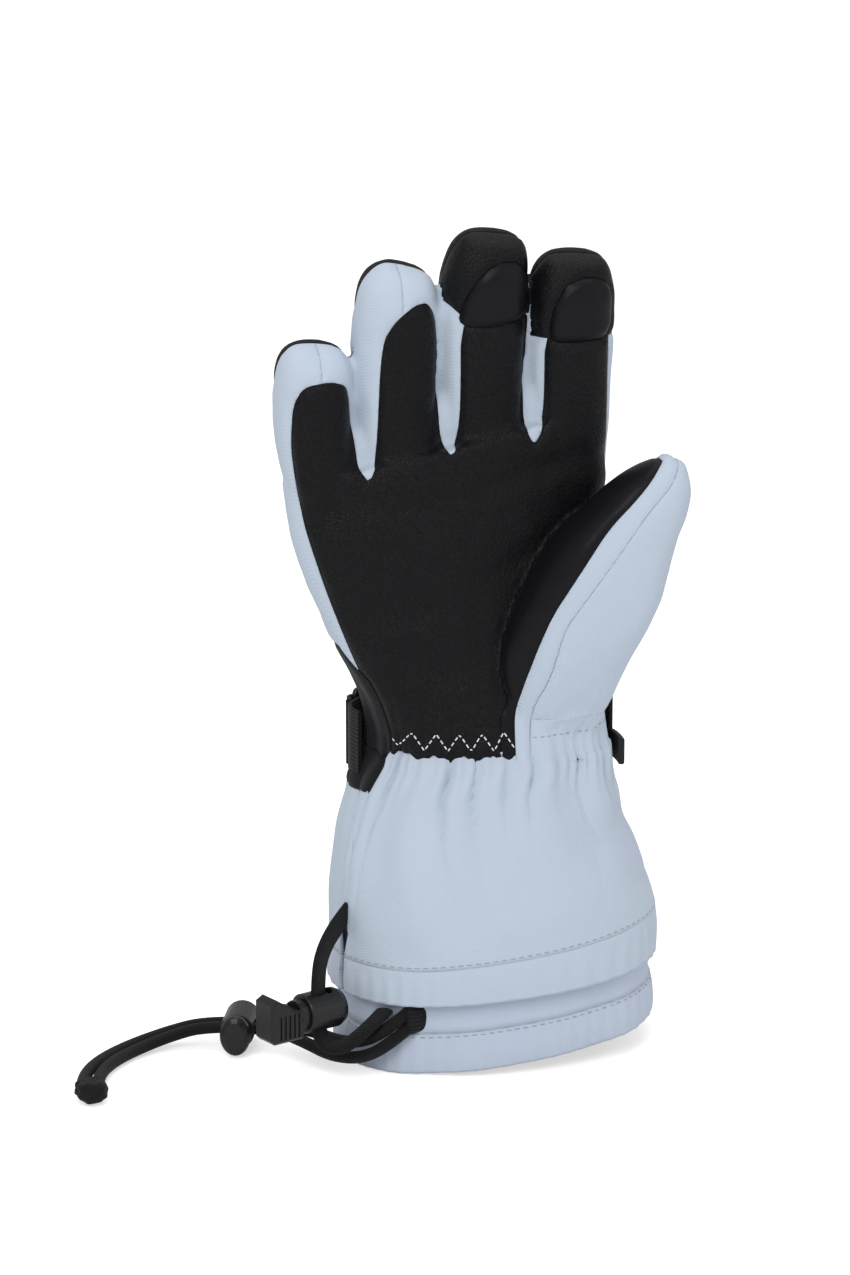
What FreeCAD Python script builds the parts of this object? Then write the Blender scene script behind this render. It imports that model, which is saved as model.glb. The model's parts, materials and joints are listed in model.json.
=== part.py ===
import FreeCAD, Part
import math
import os
from FreeCAD import Vector as V

# Insulated gauntlet glove, right hand, standing on its cuff.
# Frame: origin at the centre of the cuff opening, +Z from the cuff to the
# fingertips, -Y out of the palm, +X to the thumb side.  Millimetres.

# ---- layer thicknesses -------------------------------------------------
SHELL_T = 1.5          # outer shell: softshell fabric or palm leather
INSULATION_T = 3.2     # fibre batting of the hand
LINING_T = 1.2         # fleece
CUFF_FABRIC_T = 1.5    # inner cuff
HEM_T = 2.6            # outer hem, folded fabric
ELASTIC_T = 1.2
CUFF_GAP_RIM = 3.2     # air between outer and inner cuff, at the hem
CUFF_GAP_TOP = 0.3     # and at the wrist
FABRIC_GAP = 0.3       # between pieces that only lie on each other
SLIVER = 3.0           # volume below which a seam's offcut is dropped

# ---- heights -----------------------------------------------------------
HEM_Z = 27.0           # lower edge of the outer cuff
HEM_BAND = 13.0        # height of the hem channel
INNER_BAND = 15.0      # hem of the inner cuff
WRIST_Z = 112.0        # seam of cuff and hand on the palm side
SADDLE_LOW_Z = 100.0   # lower edge of the black back-wrist panel
SADDLE_TOP_Z = 155.0
ELASTIC_Z = 115.0
ELASTIC_W = 10.0
LINING_RISE = 4.0      # the lining stops this far above the rim

# ---- cuff: height, centre x, half width, half depth, bulge at back left --
CUFF_ROWS = [
    (0.0, 0.0, 62.0, 43.5, 0.0),
    (27.0, 0.0, 62.3, 44.0, 0.0),
    (50.0, -0.4, 61.6, 43.6, 0.0),
    (70.0, -1.8, 58.0, 41.0, 1.5),
    (86.0, -3.2, 52.6, 36.8, 4.0),
    (100.0, -3.4, 46.6, 32.4, 7.0),
    (112.0, -1.0, 42.4, 28.8, 8.0),
]
# ---- hand block: as above, then the sideways tilt of the section ---------
HAND_ROWS = [
    (112.0, -1.0, 42.4, 28.8, 8.0, 0.0),
    (120.0, -1.2, 42.0, 27.2, 8.0, 0.0),
    (130.0, -3.0, 43.0, 25.4, 7.0, 0.0),
    (158.0, -11.0, 49.2, 21.6, 2.5, 0.04),
    (205.0, -17.8, 58.9, 19.8, 0.0, 0.15),
    (229.0, -19.6, 61.0, 17.6, 0.0, 0.21),
]
# ---- digits: centre x, y, z, half width, half depth ----------------------
DIGITS = {
    "little": [
        (-63.4, 0.0, 206.0, 12.0, 13.0), (-68.3, -1.5, 243.0, 14.1, 14.8),
        (-68.2, -4.0, 256.0, 13.8, 14.0), (-68.0, -6.4, 263.4, 11.8, 11.0),
        (-67.8, -7.6, 267.4, 7.0, 6.0),
    ],
    "ring": [
        (-37.0, 0.0, 210.0, 12.8, 13.2), (-38.4, -3.0, 268.0, 15.4, 15.0),
        (-38.2, -7.0, 284.0, 14.8, 13.8), (-37.6, -9.4, 291.8, 12.2, 10.6),
        (-37.2, -10.6, 296.0, 7.0, 6.0),
    ],
    "middle": [
        (-5.6, 0.0, 212.0, 12.8, 13.2), (-7.0, -4.0, 279.0, 16.2, 15.6),
        (-5.9, -8.2, 294.0, 15.4, 14.6), (-5.2, -11.0, 302.6, 12.6, 11.4),
        (-5.0, -12.4, 307.0, 7.6, 6.6),
    ],
    "index": [
        (26.8, 0.0, 210.0, 13.0, 13.2), (25.6, -4.2, 272.0, 16.0, 15.6),
        (25.5, -8.2, 286.6, 15.6, 14.6), (25.6, -11.0, 294.8, 12.6, 11.4),
        (25.6, -12.2, 299.0, 7.6, 6.6),
    ],
    "thumb": [
        (12.0, -5.0, 119.0, 20.0, 15.0), (21.0, -18.0, 154.0, 24.0, 18.2),
        (31.6, -25.0, 179.0, 23.0, 18.6), (45.0, -30.0, 204.0, 17.0, 16.6),
        (53.6, -32.6, 218.0, 11.2, 11.4), (57.4, -33.4, 225.6, 5.2, 5.4),
    ],
}
FINGERS = ("little", "ring", "middle", "index")
HAND_SIDES = 16        # flat sides of the sections, outer layers
DIGIT_SIDES = 10
CUFF_SIDES = 20
INNER_SIDES = (12, 8)  # hand and digits, inner layers
BODY_POWER = 2.3       # roundness of the sections, 2 is an ellipse
DIGIT_POWER = 2.4

# ---- seams: outlines in the X-Z plane ------------------------------------
LEATHER_OUTLINE = [
    (3.5, 111.0), (3.0, 133.0), (6.0, 150.0), (15.0, 174.0), (30.0, 198.0),
    (39.5, 211.0), (39.6, 233.0), (38.6, 264.0), (38.0, 276.0), (13.4, 276.0),
    (14.2, 236.0), (10.4, 231.6), (7.4, 236.0), (8.6, 262.0), (9.0, 282.0),
    (-17.4, 282.0), (-16.6, 236.0), (-20.4, 229.0), (-23.6, 234.0),
    (-23.0, 262.0), (-25.4, 277.0), (-31.0, 282.4), (-38.6, 282.4),
    (-44.4, 277.0), (-47.0, 266.0), (-47.2, 226.0), (-50.2, 218.4),
    (-53.6, 224.0), (-54.8, 246.0), (-58.4, 253.6), (-66.0, 256.4),
    (-75.0, 253.6), (-78.2, 243.0), (-78.4, 232.0), (-76.2, 217.0),
    (-72.2, 199.0), (-65.2, 177.0), (-58.0, 158.0), (-50.0, 139.0),
    (-47.0, 121.0), (-47.0, 111.0),
]
LEATHER_BACK_Y = -2.5      # the leather stops this far in front of the centre
PAD_ARCH = {
    "middle": [(-16.0, 275.4), (-14.0, 285.0), (-10.0, 293.0), (-3.0, 297.6),
               (3.0, 297.0), (7.6, 291.0), (9.0, 279.4), (-4.0, 274.4)],
    "index": [(15.4, 268.6), (17.0, 281.0), (20.4, 287.4), (26.0, 290.4),
              (31.6, 290.2), (38.0, 286.0), (38.6, 271.4), (27.0, 267.4)],
}
CAP_LOW_Z = {"middle": 277.0, "index": 268.5}
BACK_TIP_Z = {"little": 246.0, "ring": 272.0, "middle": 284.0, "index": 276.0}
THUMB_SEAM_A = [(1.3, 112.0), (1.3, 132.9), (4.2, 146.8), (7.8, 159.6),
                (12.4, 172.3), (20.4, 186.6), (31.2, 204.3), (42.0, 218.4),
                (50.0, 231.0)]
THUMB_SEAM_B = [(7.2, 112.0), (7.2, 134.5), (12.6, 147.2), (16.2, 165.5),
                (19.0, 170.8), (27.0, 183.3), (34.2, 193.9), (45.0, 209.8),
                (57.0, 221.4), (60.0, 231.0)]
THUMB_MID_Y = -24.0

# ---- back seam of the side walls (y at height z) -------------------------
BACK_SEAM = [(112.0, -10.0), (143.0, -10.0), (160.0, 0.0), (185.0, 8.0),
             (240.0, 8.0)]
DIGIT_BACK_SEAM = 8.0      # behind the centre line, along the finger
TIP_BACK_SEAM = 3.4        # and at the tip
SIDE_SPLIT_Z = 206.0       # above this the side walls part finger by finger
THUMB_BASE_Z = 152.0       # top of the white panel below the thumb

# ---- slit and drawcord ----------------------------------------------------
SLIT_Y = -14.0
SLIT_TOP_Z = 58.0
SLIT_W = 6.4
CORD_D = 5.0           # drawcord, flat braid drawn round
CORD_FLAT = 7.5
CHANNEL_CORD_T = 1.2
LEASH_D = 4.6          # one strand of the leash
CORD_SIDES = 6

# ---- wrist strap ----------------------------------------------------------
STRAP_W = 25.0
STRAP_Z = 103.5
WEB_T = 1.6
STRAP_END = -4.0       # angle where the strap is sewn down, thumb side
KEEPER_START = 176.0   # and where its keeper is, at the little finger
RING_ANGLE = 130.0     # middle of the wire ring
RING_HALF = 6.0        # half the angle between its two upright bars
RING_BAR_D = 2.6
HOOK_T = 0.8
TAB_H = 10.0
TAB_DROP = 6.0
TAB_EXTRA_T = 0.8

# ---- cord locks -----------------------------------------------------------
LOCK_WALL = 1.6
LOCK_TRAVEL = 2.5
LOCK_FIT = 0.1         # running clearance of the plunger, radial
LOCK_FLOOR = 1.6       # closed end of the barrel
NOSE_WALL = 1.2        # plunger beyond its slot
SPRING_L = 1.9         # the spring pressed home
SPRING_WIRE = 0.6
SPRING_TURNS = 2.0
PIN_HOLE_D = 1.6

DRAW_LOCK_AT = V(-71.47, -29.47, 26.2)
DRAW_LOCK_TURN = 25.0
LEASH_LOCK_AT = V(-94.61, 10.79, 8.1)
LEASH_LOCK_TURN = 72.0


# ---- small helpers --------------------------------------------------------
def signed_power(value, power):
    return math.copysign(abs(value) ** power, value)


def section(centre, u, v, a, b, count, power, bulge=0.0):
    """Points of a rounded section; the bulge pushes out the back left."""
    points = []
    for i in range(count):
        t = 2.0 * math.pi * i / count
        x = a * signed_power(math.cos(t), 2.0 / power)
        y = b * signed_power(math.sin(t), 2.0 / power)
        x -= 2.0 * bulge * max(0.0, math.sin(t)) * max(0.0, -math.cos(t))
        points.append(centre + u * x + v * y)
    return points


def facet_loft(rings):
    """Closed solid through rings of points, with flat three-sided faces."""
    faces = []
    for low, high in zip(rings, rings[1:]):
        count = len(low)
        for i in range(count):
            j = (i + 1) % count
            faces.append(flat_face([low[i], low[j], high[j]]))
            faces.append(flat_face([low[i], high[j], high[i]]))
    faces.append(flat_face(rings[0][::-1]))
    faces.append(flat_face(rings[-1]))
    solid = Part.Solid(Part.Shell(faces))
    if solid.Volume < 0:
        solid.reverse()
    return solid


def flat_face(points):
    return Part.Face(Part.makePolygon(list(points) + [points[0]]))


def box(x0, x1, y0, y1, z0, z1):
    return Part.makeBox(x1 - x0, y1 - y0, z1 - z0, V(x0, y0, z0))


def prism_xz(points, y0, y1):
    wire = Part.makePolygon([V(x, y0, z) for x, z in points + [points[0]]])
    return Part.Face(wire).extrude(V(0, y1 - y0, 0))


def prism_yz(points, x0, x1):
    wire = Part.makePolygon([V(x0, y, z) for y, z in points + [points[0]]])
    return Part.Face(wire).extrude(V(x1 - x0, 0, 0))


def prism_xy(points, z0, z1):
    wire = Part.makePolygon([V(x, y, z0) for x, y in points + [points[0]]])
    return Part.Face(wire).extrude(V(0, 0, z1 - z0))


def join(shapes):
    shapes = [s for s in shapes if s is not None and s.Solids]
    result = shapes[0]
    if len(shapes) > 1:
        result = result.fuse(shapes[1:])
    return result


def main_solids(shape):
    """The shape without slivers that a cut leaves along a seam."""
    solids = [s for s in shape.Solids if s.Volume > SLIVER]
    return solids[0] if len(solids) == 1 else Part.makeCompound(solids)


def interpolate(rows, z, column):
    """Value of one column of a table of rows at height z."""
    if z <= rows[0][0]:
        return rows[0][column]
    for low, high in zip(rows, rows[1:]):
        if z <= high[0]:
            f = (z - low[0]) / (high[0] - low[0])
            return low[column] + f * (high[column] - low[column])
    return rows[-1][column]


# ---- envelopes ------------------------------------------------------------
def cuff_rings(inset, count, low=0.0):
    """Rings of the cuff; inset is a function of the height."""
    rings = []
    heights = [low] + [row[0] for row in CUFF_ROWS if row[0] > low + 1.0]
    for z in heights:
        cx, a, b, bulge = [interpolate(CUFF_ROWS, z, k) for k in (1, 2, 3, 4)]
        t = inset(z)
        rings.append(section(V(cx, 0, z), V(1, 0, 0), V(0, 1, 0),
                             a - t, b - t, count, BODY_POWER, bulge))
    return rings


def every_second(rows):
    """First, last and every second row, for the inner layers."""
    return [r for i, r in enumerate(rows) if i % 2 == 0 or i == len(rows) - 1]


def hand_rings(inset, count, coarse=False):
    rings = []
    for z, cx, a, b, bulge, tilt in (every_second(HAND_ROWS) if coarse else HAND_ROWS):
        top = z == HAND_ROWS[-1][0]
        u = V(math.cos(tilt), 0, math.sin(tilt))
        drop = inset if top else 0.0
        rings.append(section(V(cx, 0, z - drop), u, V(0, 1, 0),
                             a - inset, b - inset, count, BODY_POWER, bulge))
    return rings


def digit_rings(name, inset, count, coarse=False):
    rows = every_second(DIGITS[name]) if coarse else DIGITS[name]
    centres = [V(x, y, z) for x, y, z, _, _ in rows]
    rings = []
    for i, (x, y, z, a, b) in enumerate(rows):
        ahead = centres[min(i + 1, len(rows) - 1)]
        behind = centres[max(i - 1, 0)]
        along = (ahead - behind).normalize()
        v = (V(0, 1, 0) - along * along.y).normalize()
        u = v.cross(along).normalize()
        drop = inset if z >= DIGITS[name][-2][2] else 0.0
        rings.append(section(centres[i] - along * drop, u, v,
                             max(a - inset, 1.5), max(b - inset, 1.5),
                             count, DIGIT_POWER))
    return rings


def hand_cavity(inset, coarse=True):
    """Hand, fingers and thumb as one solid, drawn in by the inset."""
    hand_sides, digit_sides = INNER_SIDES if coarse else (HAND_SIDES, DIGIT_SIDES)
    block = facet_loft(hand_rings(inset, hand_sides, coarse))
    digits = [facet_loft(digit_rings(n, inset, digit_sides, coarse)) for n in DIGITS]
    return block.fuse(digits)


def ring_gap(z):
    """Distance of the inner cuff behind the outer surface."""
    f = min(1.0, max(0.0, (z - HEM_Z - HEM_BAND) / (WRIST_Z - HEM_Z - HEM_BAND)))
    return SHELL_T + CUFF_GAP_RIM + f * (CUFF_GAP_TOP - CUFF_GAP_RIM)


def inner_fabric(z):
    """Back of the inner cuff, which meets the hand lining at the wrist."""
    top = SHELL_T + INSULATION_T
    f = min(1.0, max(0.0, (z - 86.0) / (WRIST_Z - 86.0)))
    return (1.0 - f) * (ring_gap(z) + CUFF_FABRIC_T) + f * top


# ---- hand shell -----------------------------------------------------------
def back_prism(rows):
    """Everything behind a seam given as (z, y) rows."""
    line = [(y, z) for z, y in rows]
    return prism_yz([(90.0, rows[0][0])] + line + [(90.0, rows[-1][0])],
                    -120.0, 120.0)


def digit_back_prism(name):
    rows = DIGITS[name]
    line = []
    for x, y, z, _, _ in rows:
        tip = z > rows[-3][2] - 0.1
        line.append((z, y + (TIP_BACK_SEAM if tip else DIGIT_BACK_SEAM)))
    line.insert(0, (190.0, DIGIT_BACK_SEAM))
    line.append((330.0, line[-1][1]))
    return back_prism(line)


def leather_prism():
    return prism_xz(LEATHER_OUTLINE, -90.0, LEATHER_BACK_Y)


def digit_leather_prism(name):
    """Front zone of a finger: the outline, up to the finger's own centre."""
    rows = DIGITS[name]
    line = [(LEATHER_BACK_Y, 190.0)]
    for x, y, z, _, _ in rows[1:]:
        line.append((y + LEATHER_BACK_Y, z))
    line.append((line[-1][0], 330.0))
    front = prism_yz([(-90.0, 190.0)] + line + [(-90.0, 330.0)], -120, 120)
    return leather_prism().common(front)


def build_hand_shell(nodes, hand0, digits0, cavity1):
    walls = {}
    for name in DIGITS:
        walls[name] = digits0[name].cut(cavity1).cut(hand0)
    hand = hand0.cut(cavity1)
    back_hand = hand.common(back_prism(BACK_SEAM + [(260.0, 8.0)]))
    rest = hand.cut(back_prism(BACK_SEAM + [(260.0, 8.0)]))
    leather = [rest.common(leather_prism())]
    rest = rest.cut(leather_prism())
    back, sides = [back_hand], {}
    for name in FINGERS:
        wall = walls[name]
        cut = digit_back_prism(name)
        rear = wall.common(cut)
        tip = box(-120, 120, -60, 60, BACK_TIP_Z[name], 340)
        nodes["back_tip_" + name] = rear.common(tip)
        back.append(rear.cut(tip))
        wall = wall.cut(cut)
        if name in CAP_LOW_Z:
            wall = build_cap(nodes, name, wall)
        front = digit_leather_prism(name)
        leather.append(wall.common(front))
        sides[name] = wall.cut(front)
    nodes["palm_panel"] = join(leather)
    back = join(back)
    split_back(nodes, back)
    split_sides(nodes, rest, sides)
    build_thumb(nodes, walls["thumb"].cut(join(list(digits0.values())[:4])))


def build_cap(nodes, name, wall):
    """Black cap over the fingertip, with the smooth pad let into its front."""
    x, y, z, a, b = DIGITS[name][1]
    left = -120.0 if name == "middle" else x - 12.5
    zone = box(left, 120, -60, 60, CAP_LOW_Z[name], 340)
    arch = prism_xz(PAD_ARCH[name], -60.0, y - 3.0)
    pad = wall.common(arch)
    nodes[name + "_tip_pad"] = pad
    nodes[name + "_tip_cap"] = wall.common(zone).cut(arch)
    return wall.cut(zone).cut(arch)


def split_back(nodes, back):
    saddle_zone = box(-120, 120, -90, 90, 0, SADDLE_TOP_Z)
    nodes["wrist_saddle"] = back.common(saddle_zone)
    nodes["back_panel"] = back.cut(saddle_zone)


def split_sides(nodes, rest, sides):
    """White walls between the fingers, and at both edges of the hand."""
    names = ["little_side_wall", "fourchette_little_ring",
             "fourchette_ring_middle", "fourchette_middle_index",
             "index_side_wall"]
    edges = [-130.0] + [DIGITS[name][0][0] for name in FINGERS] + [130.0]
    pieces = {name: [] for name in names}
    high = box(-130, 130, -90, 90, SIDE_SPLIT_Z, 340)
    low = rest.cut(high)
    rest = rest.common(high)
    for i, name in enumerate(names):
        zone = box(edges[i], edges[i + 1], -90, 90, 100, 340)
        pieces[name].append(rest.common(zone))
    for i, finger in enumerate(FINGERS):
        x = DIGITS[finger][-3][0]
        wall = sides[finger]
        pieces[names[i]].append(wall.common(box(-130, x, -90, 90, 100, 340)))
        pieces[names[i + 1]].append(wall.common(box(x, 130, -90, 90, 100, 340)))
    left = box(-130, -20, -90, 90, 100, 340)
    base = box(-20, 130, -90, 90, 100, THUMB_BASE_Z)
    pieces[names[0]].append(low.common(left))
    pieces[names[4]].append(low.cut(left).cut(base))
    nodes["thumb_base_panel"] = low.common(base)
    for name in names:
        nodes[name] = join(pieces[name])


def build_thumb(nodes, wall):
    seam_a = [(-60.0, 100.0)] + THUMB_SEAM_A + [(-60.0, 240.0)]
    seam_b = [(-60.0, 100.0)] + THUMB_SEAM_B + [(-60.0, 240.0)]
    patch = prism_xz(seam_a, -90.0, THUMB_MID_Y)
    strip = prism_xz(seam_b, -90.0, THUMB_MID_Y)
    nodes["thumb_front_patch"] = wall.common(patch)
    nodes["thumb_gusset"] = wall.common(strip).cut(patch)
    nodes["thumb_back_panel"] = wall.cut(strip)


# ---- cuff -----------------------------------------------------------------
def slit_cut():
    wedge = prism_yz([(SLIT_Y - 1.0, 0.0), (SLIT_Y + 5.0, 0.0),
                      (SLIT_Y + 0.6, SLIT_TOP_Z), (SLIT_Y - 0.6, SLIT_TOP_Z)],
                     -90.0, -40.0)
    eye = Part.makeCylinder(SLIT_W / 2.0, 50.0, V(-90, SLIT_Y, SLIT_TOP_Z),
                            V(1, 0, 0))
    return wedge.fuse(eye)


def build_cuff(nodes):
    outer = facet_loft(cuff_rings(lambda z: 0.0, CUFF_SIDES, HEM_Z))
    inner = facet_loft(cuff_rings(lambda z: SHELL_T, CUFF_SIDES, 1.0))
    fold = facet_loft(cuff_rings(lambda z: HEM_T, CUFF_SIDES, 1.0))
    slit = slit_cut()
    hem_top = HEM_Z + HEM_BAND
    low_zone = box(-120, 120, -90, 90, 0, hem_top)
    wall = outer.cut(inner).cut(low_zone).cut(slit)
    hem = outer.cut(fold).common(low_zone).cut(slit)
    cord = channel_cord()
    nodes["drawcord_channel_run"] = cord
    nodes["cuff_hem"] = hem.cut(channel_space())
    rear = prism_yz([(SLIT_Y, 0), (SLIT_Y, 75.0), (-8.0, 92.0), (-8.0, 120.0),
                     (90.0, 120.0), (90.0, 0)], -120, 120)
    back = wall.common(rear)
    saddle_zone = box(-120, 120, -90, 90, SADDLE_LOW_Z, 120)
    nodes["outer_cuff_front"] = wall.cut(rear)
    nodes["outer_cuff_back"] = back.cut(saddle_zone)
    nodes["wrist_saddle"] = join([nodes["wrist_saddle"],
                                  back.common(saddle_zone)])
    skirt0 = facet_loft(cuff_rings(ring_gap, CUFF_SIDES, 0.0))
    skirt1 = facet_loft(cuff_rings(inner_fabric, CUFF_SIDES, 0.0))
    skirt2 = facet_loft(cuff_rings(lambda z: inner_fabric(z) + LINING_T,
                                   CUFF_SIDES, 0.0))
    band = box(-120, 120, -90, 90, 0, INNER_BAND)
    skirt = skirt0.cut(skirt1)
    nodes["inner_cuff_hem"] = skirt.common(band)
    nodes["inner_cuff"] = skirt.cut(band)
    low = box(-120, 120, -90, 90, -1, LINING_RISE)
    nodes["cuff_lining"] = skirt1.cut(skirt2).cut(low)


def flat_ring(inset0, inset1, z0, z1, cut=None):
    ring0 = prism_xy([(p.x, p.y) for p in cuff_rings(lambda z: inset0, CUFF_SIDES, HEM_Z)[0]],
                     z0, z1)
    ring1 = prism_xy([(p.x, p.y) for p in cuff_rings(lambda z: inset1, CUFF_SIDES, HEM_Z)[0]],
                     z0 - 1, z1 + 1)
    ring = ring0.cut(ring1)
    gap = box(-120, -40, SLIT_Y - 5.0, SLIT_Y + 9.0, 0, 120)
    return ring.cut(gap)


def channel_space():
    return flat_ring(0.9, 0.9 + CHANNEL_CORD_T, HEM_Z + 2.6,
                     HEM_Z + 2.6 + CORD_FLAT)


def channel_cord():
    return channel_space()


# ---- inner layers of the hand ---------------------------------------------
def build_layers(nodes, cavity1, cavity2, cavity3):
    low = box(-120, 120, -90, 90, 100, ELASTIC_Z + ELASTIC_W + FABRIC_GAP)
    batting = cavity1.cut(cavity2).cut(low)
    front = box(-130, 130, -120, LEATHER_BACK_Y, 100, 340)
    nodes["insulation_palm"] = batting.common(front)
    nodes["insulation_back"] = batting.cut(front)
    nodes["hand_lining"] = cavity2.cut(cavity3)
    band = facet_loft(hand_rings(SHELL_T + ELASTIC_T, HAND_SIDES))
    block = facet_loft(hand_rings(SHELL_T, HAND_SIDES))
    slab = box(-120, 120, -90, 90, ELASTIC_Z, ELASTIC_Z + ELASTIC_W)
    nodes["wrist_elastic"] = block.cut(band).common(slab)


# ---- strap ----------------------------------------------------------------
def strap_points(offset, angle0, angle1, step=6.0):
    """Points along the strap, at an offset from its inner face."""
    z = STRAP_Z
    cx, a, b, bulge = [interpolate(CUFF_ROWS, z, k) for k in (1, 2, 3, 4)]
    a = a + FABRIC_GAP + offset
    b = b + FABRIC_GAP + offset
    bulge = CUFF_ROWS[-1][4]
    count = max(2, int(round(abs(angle1 - angle0) / step)) + 1)
    points = []
    for i in range(count):
        t = math.radians(angle0 + (angle1 - angle0) * i / (count - 1.0))
        x = a * signed_power(math.cos(t), 2.0 / BODY_POWER)
        y = b * signed_power(math.sin(t), 2.0 / BODY_POWER)
        x -= 2.0 * bulge * max(0.0, math.sin(t)) * max(0.0, -math.cos(t))
        points.append((cx + x, y))
    return points


def web(offset, thickness, angle0, angle1, z0, z1):
    inner = strap_points(offset, angle0, angle1)
    outer = strap_points(offset + thickness, angle0, angle1)
    return prism_xy(inner + outer[::-1], z0, z1)


def web_path(outline, z0, z1):
    """Webbing bent to an outline given as (angle, offset) pairs."""
    points = [strap_points(offset, angle, angle - 1.0)[0] for angle, offset in outline]
    return prism_xy(points, z0, z1)


def loop_outline(side, tail_offset):
    """One turn of webbing round a ring bar, from the inner to the outer layer."""
    bar = RING_ANGLE + side * RING_HALF
    top = WEB_T + 2.0 * FABRIC_GAP + RING_BAR_D
    outer = [(bar - side * 4.6, 0.0), (bar - side * 4.8, 3.0),
             (bar - side * 3.4, top + WEB_T - 0.4), (bar + side * 0.5, top + WEB_T),
             (bar + side * 6.0, tail_offset + WEB_T + 0.3),
             (bar + side * 10.0, tail_offset + WEB_T)]
    inner = [(bar + side * 10.0, tail_offset), (bar + side * 6.0, tail_offset + 0.3),
             (bar + side * 0.5, top), (bar - side * 2.0, top - 0.4),
             (bar - side * 2.7, 3.0), (bar - side * 2.7, WEB_T)]
    return outer, inner


def build_strap(nodes):
    z0, z1 = STRAP_Z, STRAP_Z + STRAP_W
    layer2 = WEB_T + FABRIC_GAP
    tail = layer2 + HOOK_T
    outer, inner = loop_outline(-1, tail)
    sweep = [RING_ANGLE - RING_HALF - 6.0 * k for k in range(0, 20)]
    sweep = [t for t in sweep if t > STRAP_END] + [STRAP_END]
    outline = outer + inner + [(t, WEB_T) for t in sweep] \
        + [(t, 0.0) for t in sweep[::-1]]
    nodes["wrist_strap"] = web_path(outline, z0, z1)
    outer, inner = loop_outline(1, layer2)
    sweep = [RING_ANGLE + RING_HALF + 6.0 * k for k in range(0, 20)]
    sweep = [t for t in sweep if t < KEEPER_START] + [KEEPER_START]
    outline = outer + inner + [(t, WEB_T) for t in sweep] \
        + [(t, 0.0) for t in sweep[::-1]]
    nodes["strap_keeper"] = web_path(outline, z0, z1)
    start = RING_ANGLE - RING_HALF - 10.5
    nodes["strap_tail"] = web(tail, WEB_T, start, 2.0, z0, z1)
    pitch = (start - 2.0) / round((start - 2.0) / 6.0)
    nodes["strap_hook_patch"] = web(layer2, HOOK_T, start - 12.0 * pitch,
                                    start - 18.0 * pitch, z0 + 1.5, z1 - 1.5)
    mid = (z0 + z1) / 2.0 - TAB_DROP
    nodes["strap_pull_tab"] = web(tail, WEB_T + TAB_EXTRA_T, 2.0, -11.0,
                                  mid - TAB_H / 2.0, mid + TAB_H / 2.0)
    nodes["strap_ring"] = build_ring(z0, z1)


def build_ring(z0, z1):
    """Rectangular wire ring that the strap turns round."""
    offset = WEB_T + FABRIC_GAP + RING_BAR_D / 2.0
    (x0, y0) = strap_points(offset, RING_ANGLE - RING_HALF, 0.0)[0]
    (x1, y1) = strap_points(offset, RING_ANGLE + RING_HALF, 0.0)[0]
    over = 0.5 + RING_BAR_D / 2.0
    corners = [V(x0, y0, z0 - over), V(x1, y1, z0 - over),
               V(x1, y1, z1 + over), V(x0, y0, z1 + over)]
    bars = []
    for a, b in zip(corners, corners[1:] + corners[:1]):
        along = (b - a).normalize()
        end = RING_BAR_D / 2.0
        a, b = a - along * end, b + along * end
        side = along.cross(V(x1 - x0, y1 - y0, 0).cross(V(0, 0, 1))).normalize()
        out = along.cross(side)
        rings = [section(p, side, out, end, end, 8, 2.0) for p in (a, b)]
        bars.append(facet_loft(rings))
    return bars[0].fuse(bars[1:])


# ---- cords ----------------------------------------------------------------
DRAWCORD_ROUTE = [
    (-57.8, -13.8, 58.2), (-63.6, -18.8, 54.0), (-69.4, -25.2, 48.2),
    (-72.6, -30.0, 41.0), (-72.6, -30.0, 16.6), (-69.6, -32.4, 12.4),
    (-63.6, -34.2, 12.6), (-57.2, -34.0, 17.4), (-51.6, -32.0, 21.4),
    (-47.6, -28.6, 23.6),
]
LEASH_A_ROUTE = [
    (-39.0, -33.4, 18.6), (-48.4, -36.2, 12.4), (-57.2, -32.4, 7.2),
    (-66.0, -22.0, 5.0), (-73.6, -8.4, 6.2), (-83.4, 3.25, 8.1),
    (-108.12, 11.29, 8.1), (-121.5, 12.2, 4.6), (-134.2, 6.4, 2.6),
    (-144.8, -4.6, 2.6), (-152.2, -18.6, 2.6), (-154.6, -34.0, 3.4),
]
LEASH_B_ROUTE = [
    (-38.6, -32.6, 24.6), (-47.6, -34.6, 18.6), (-56.0, -30.6, 12.8),
    (-63.4, -19.8, 9.8), (-69.9, -5.0, 9.2), (-81.88, 7.91, 8.1),
    (-106.6, 15.95, 8.1), (-121.4, 17.4, 4.6), (-136.8, 10.8, 2.6),
    (-149.2, -2.0, 2.6), (-157.8, -17.6, 2.6), (-160.2, -33.6, 3.4),
]


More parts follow.
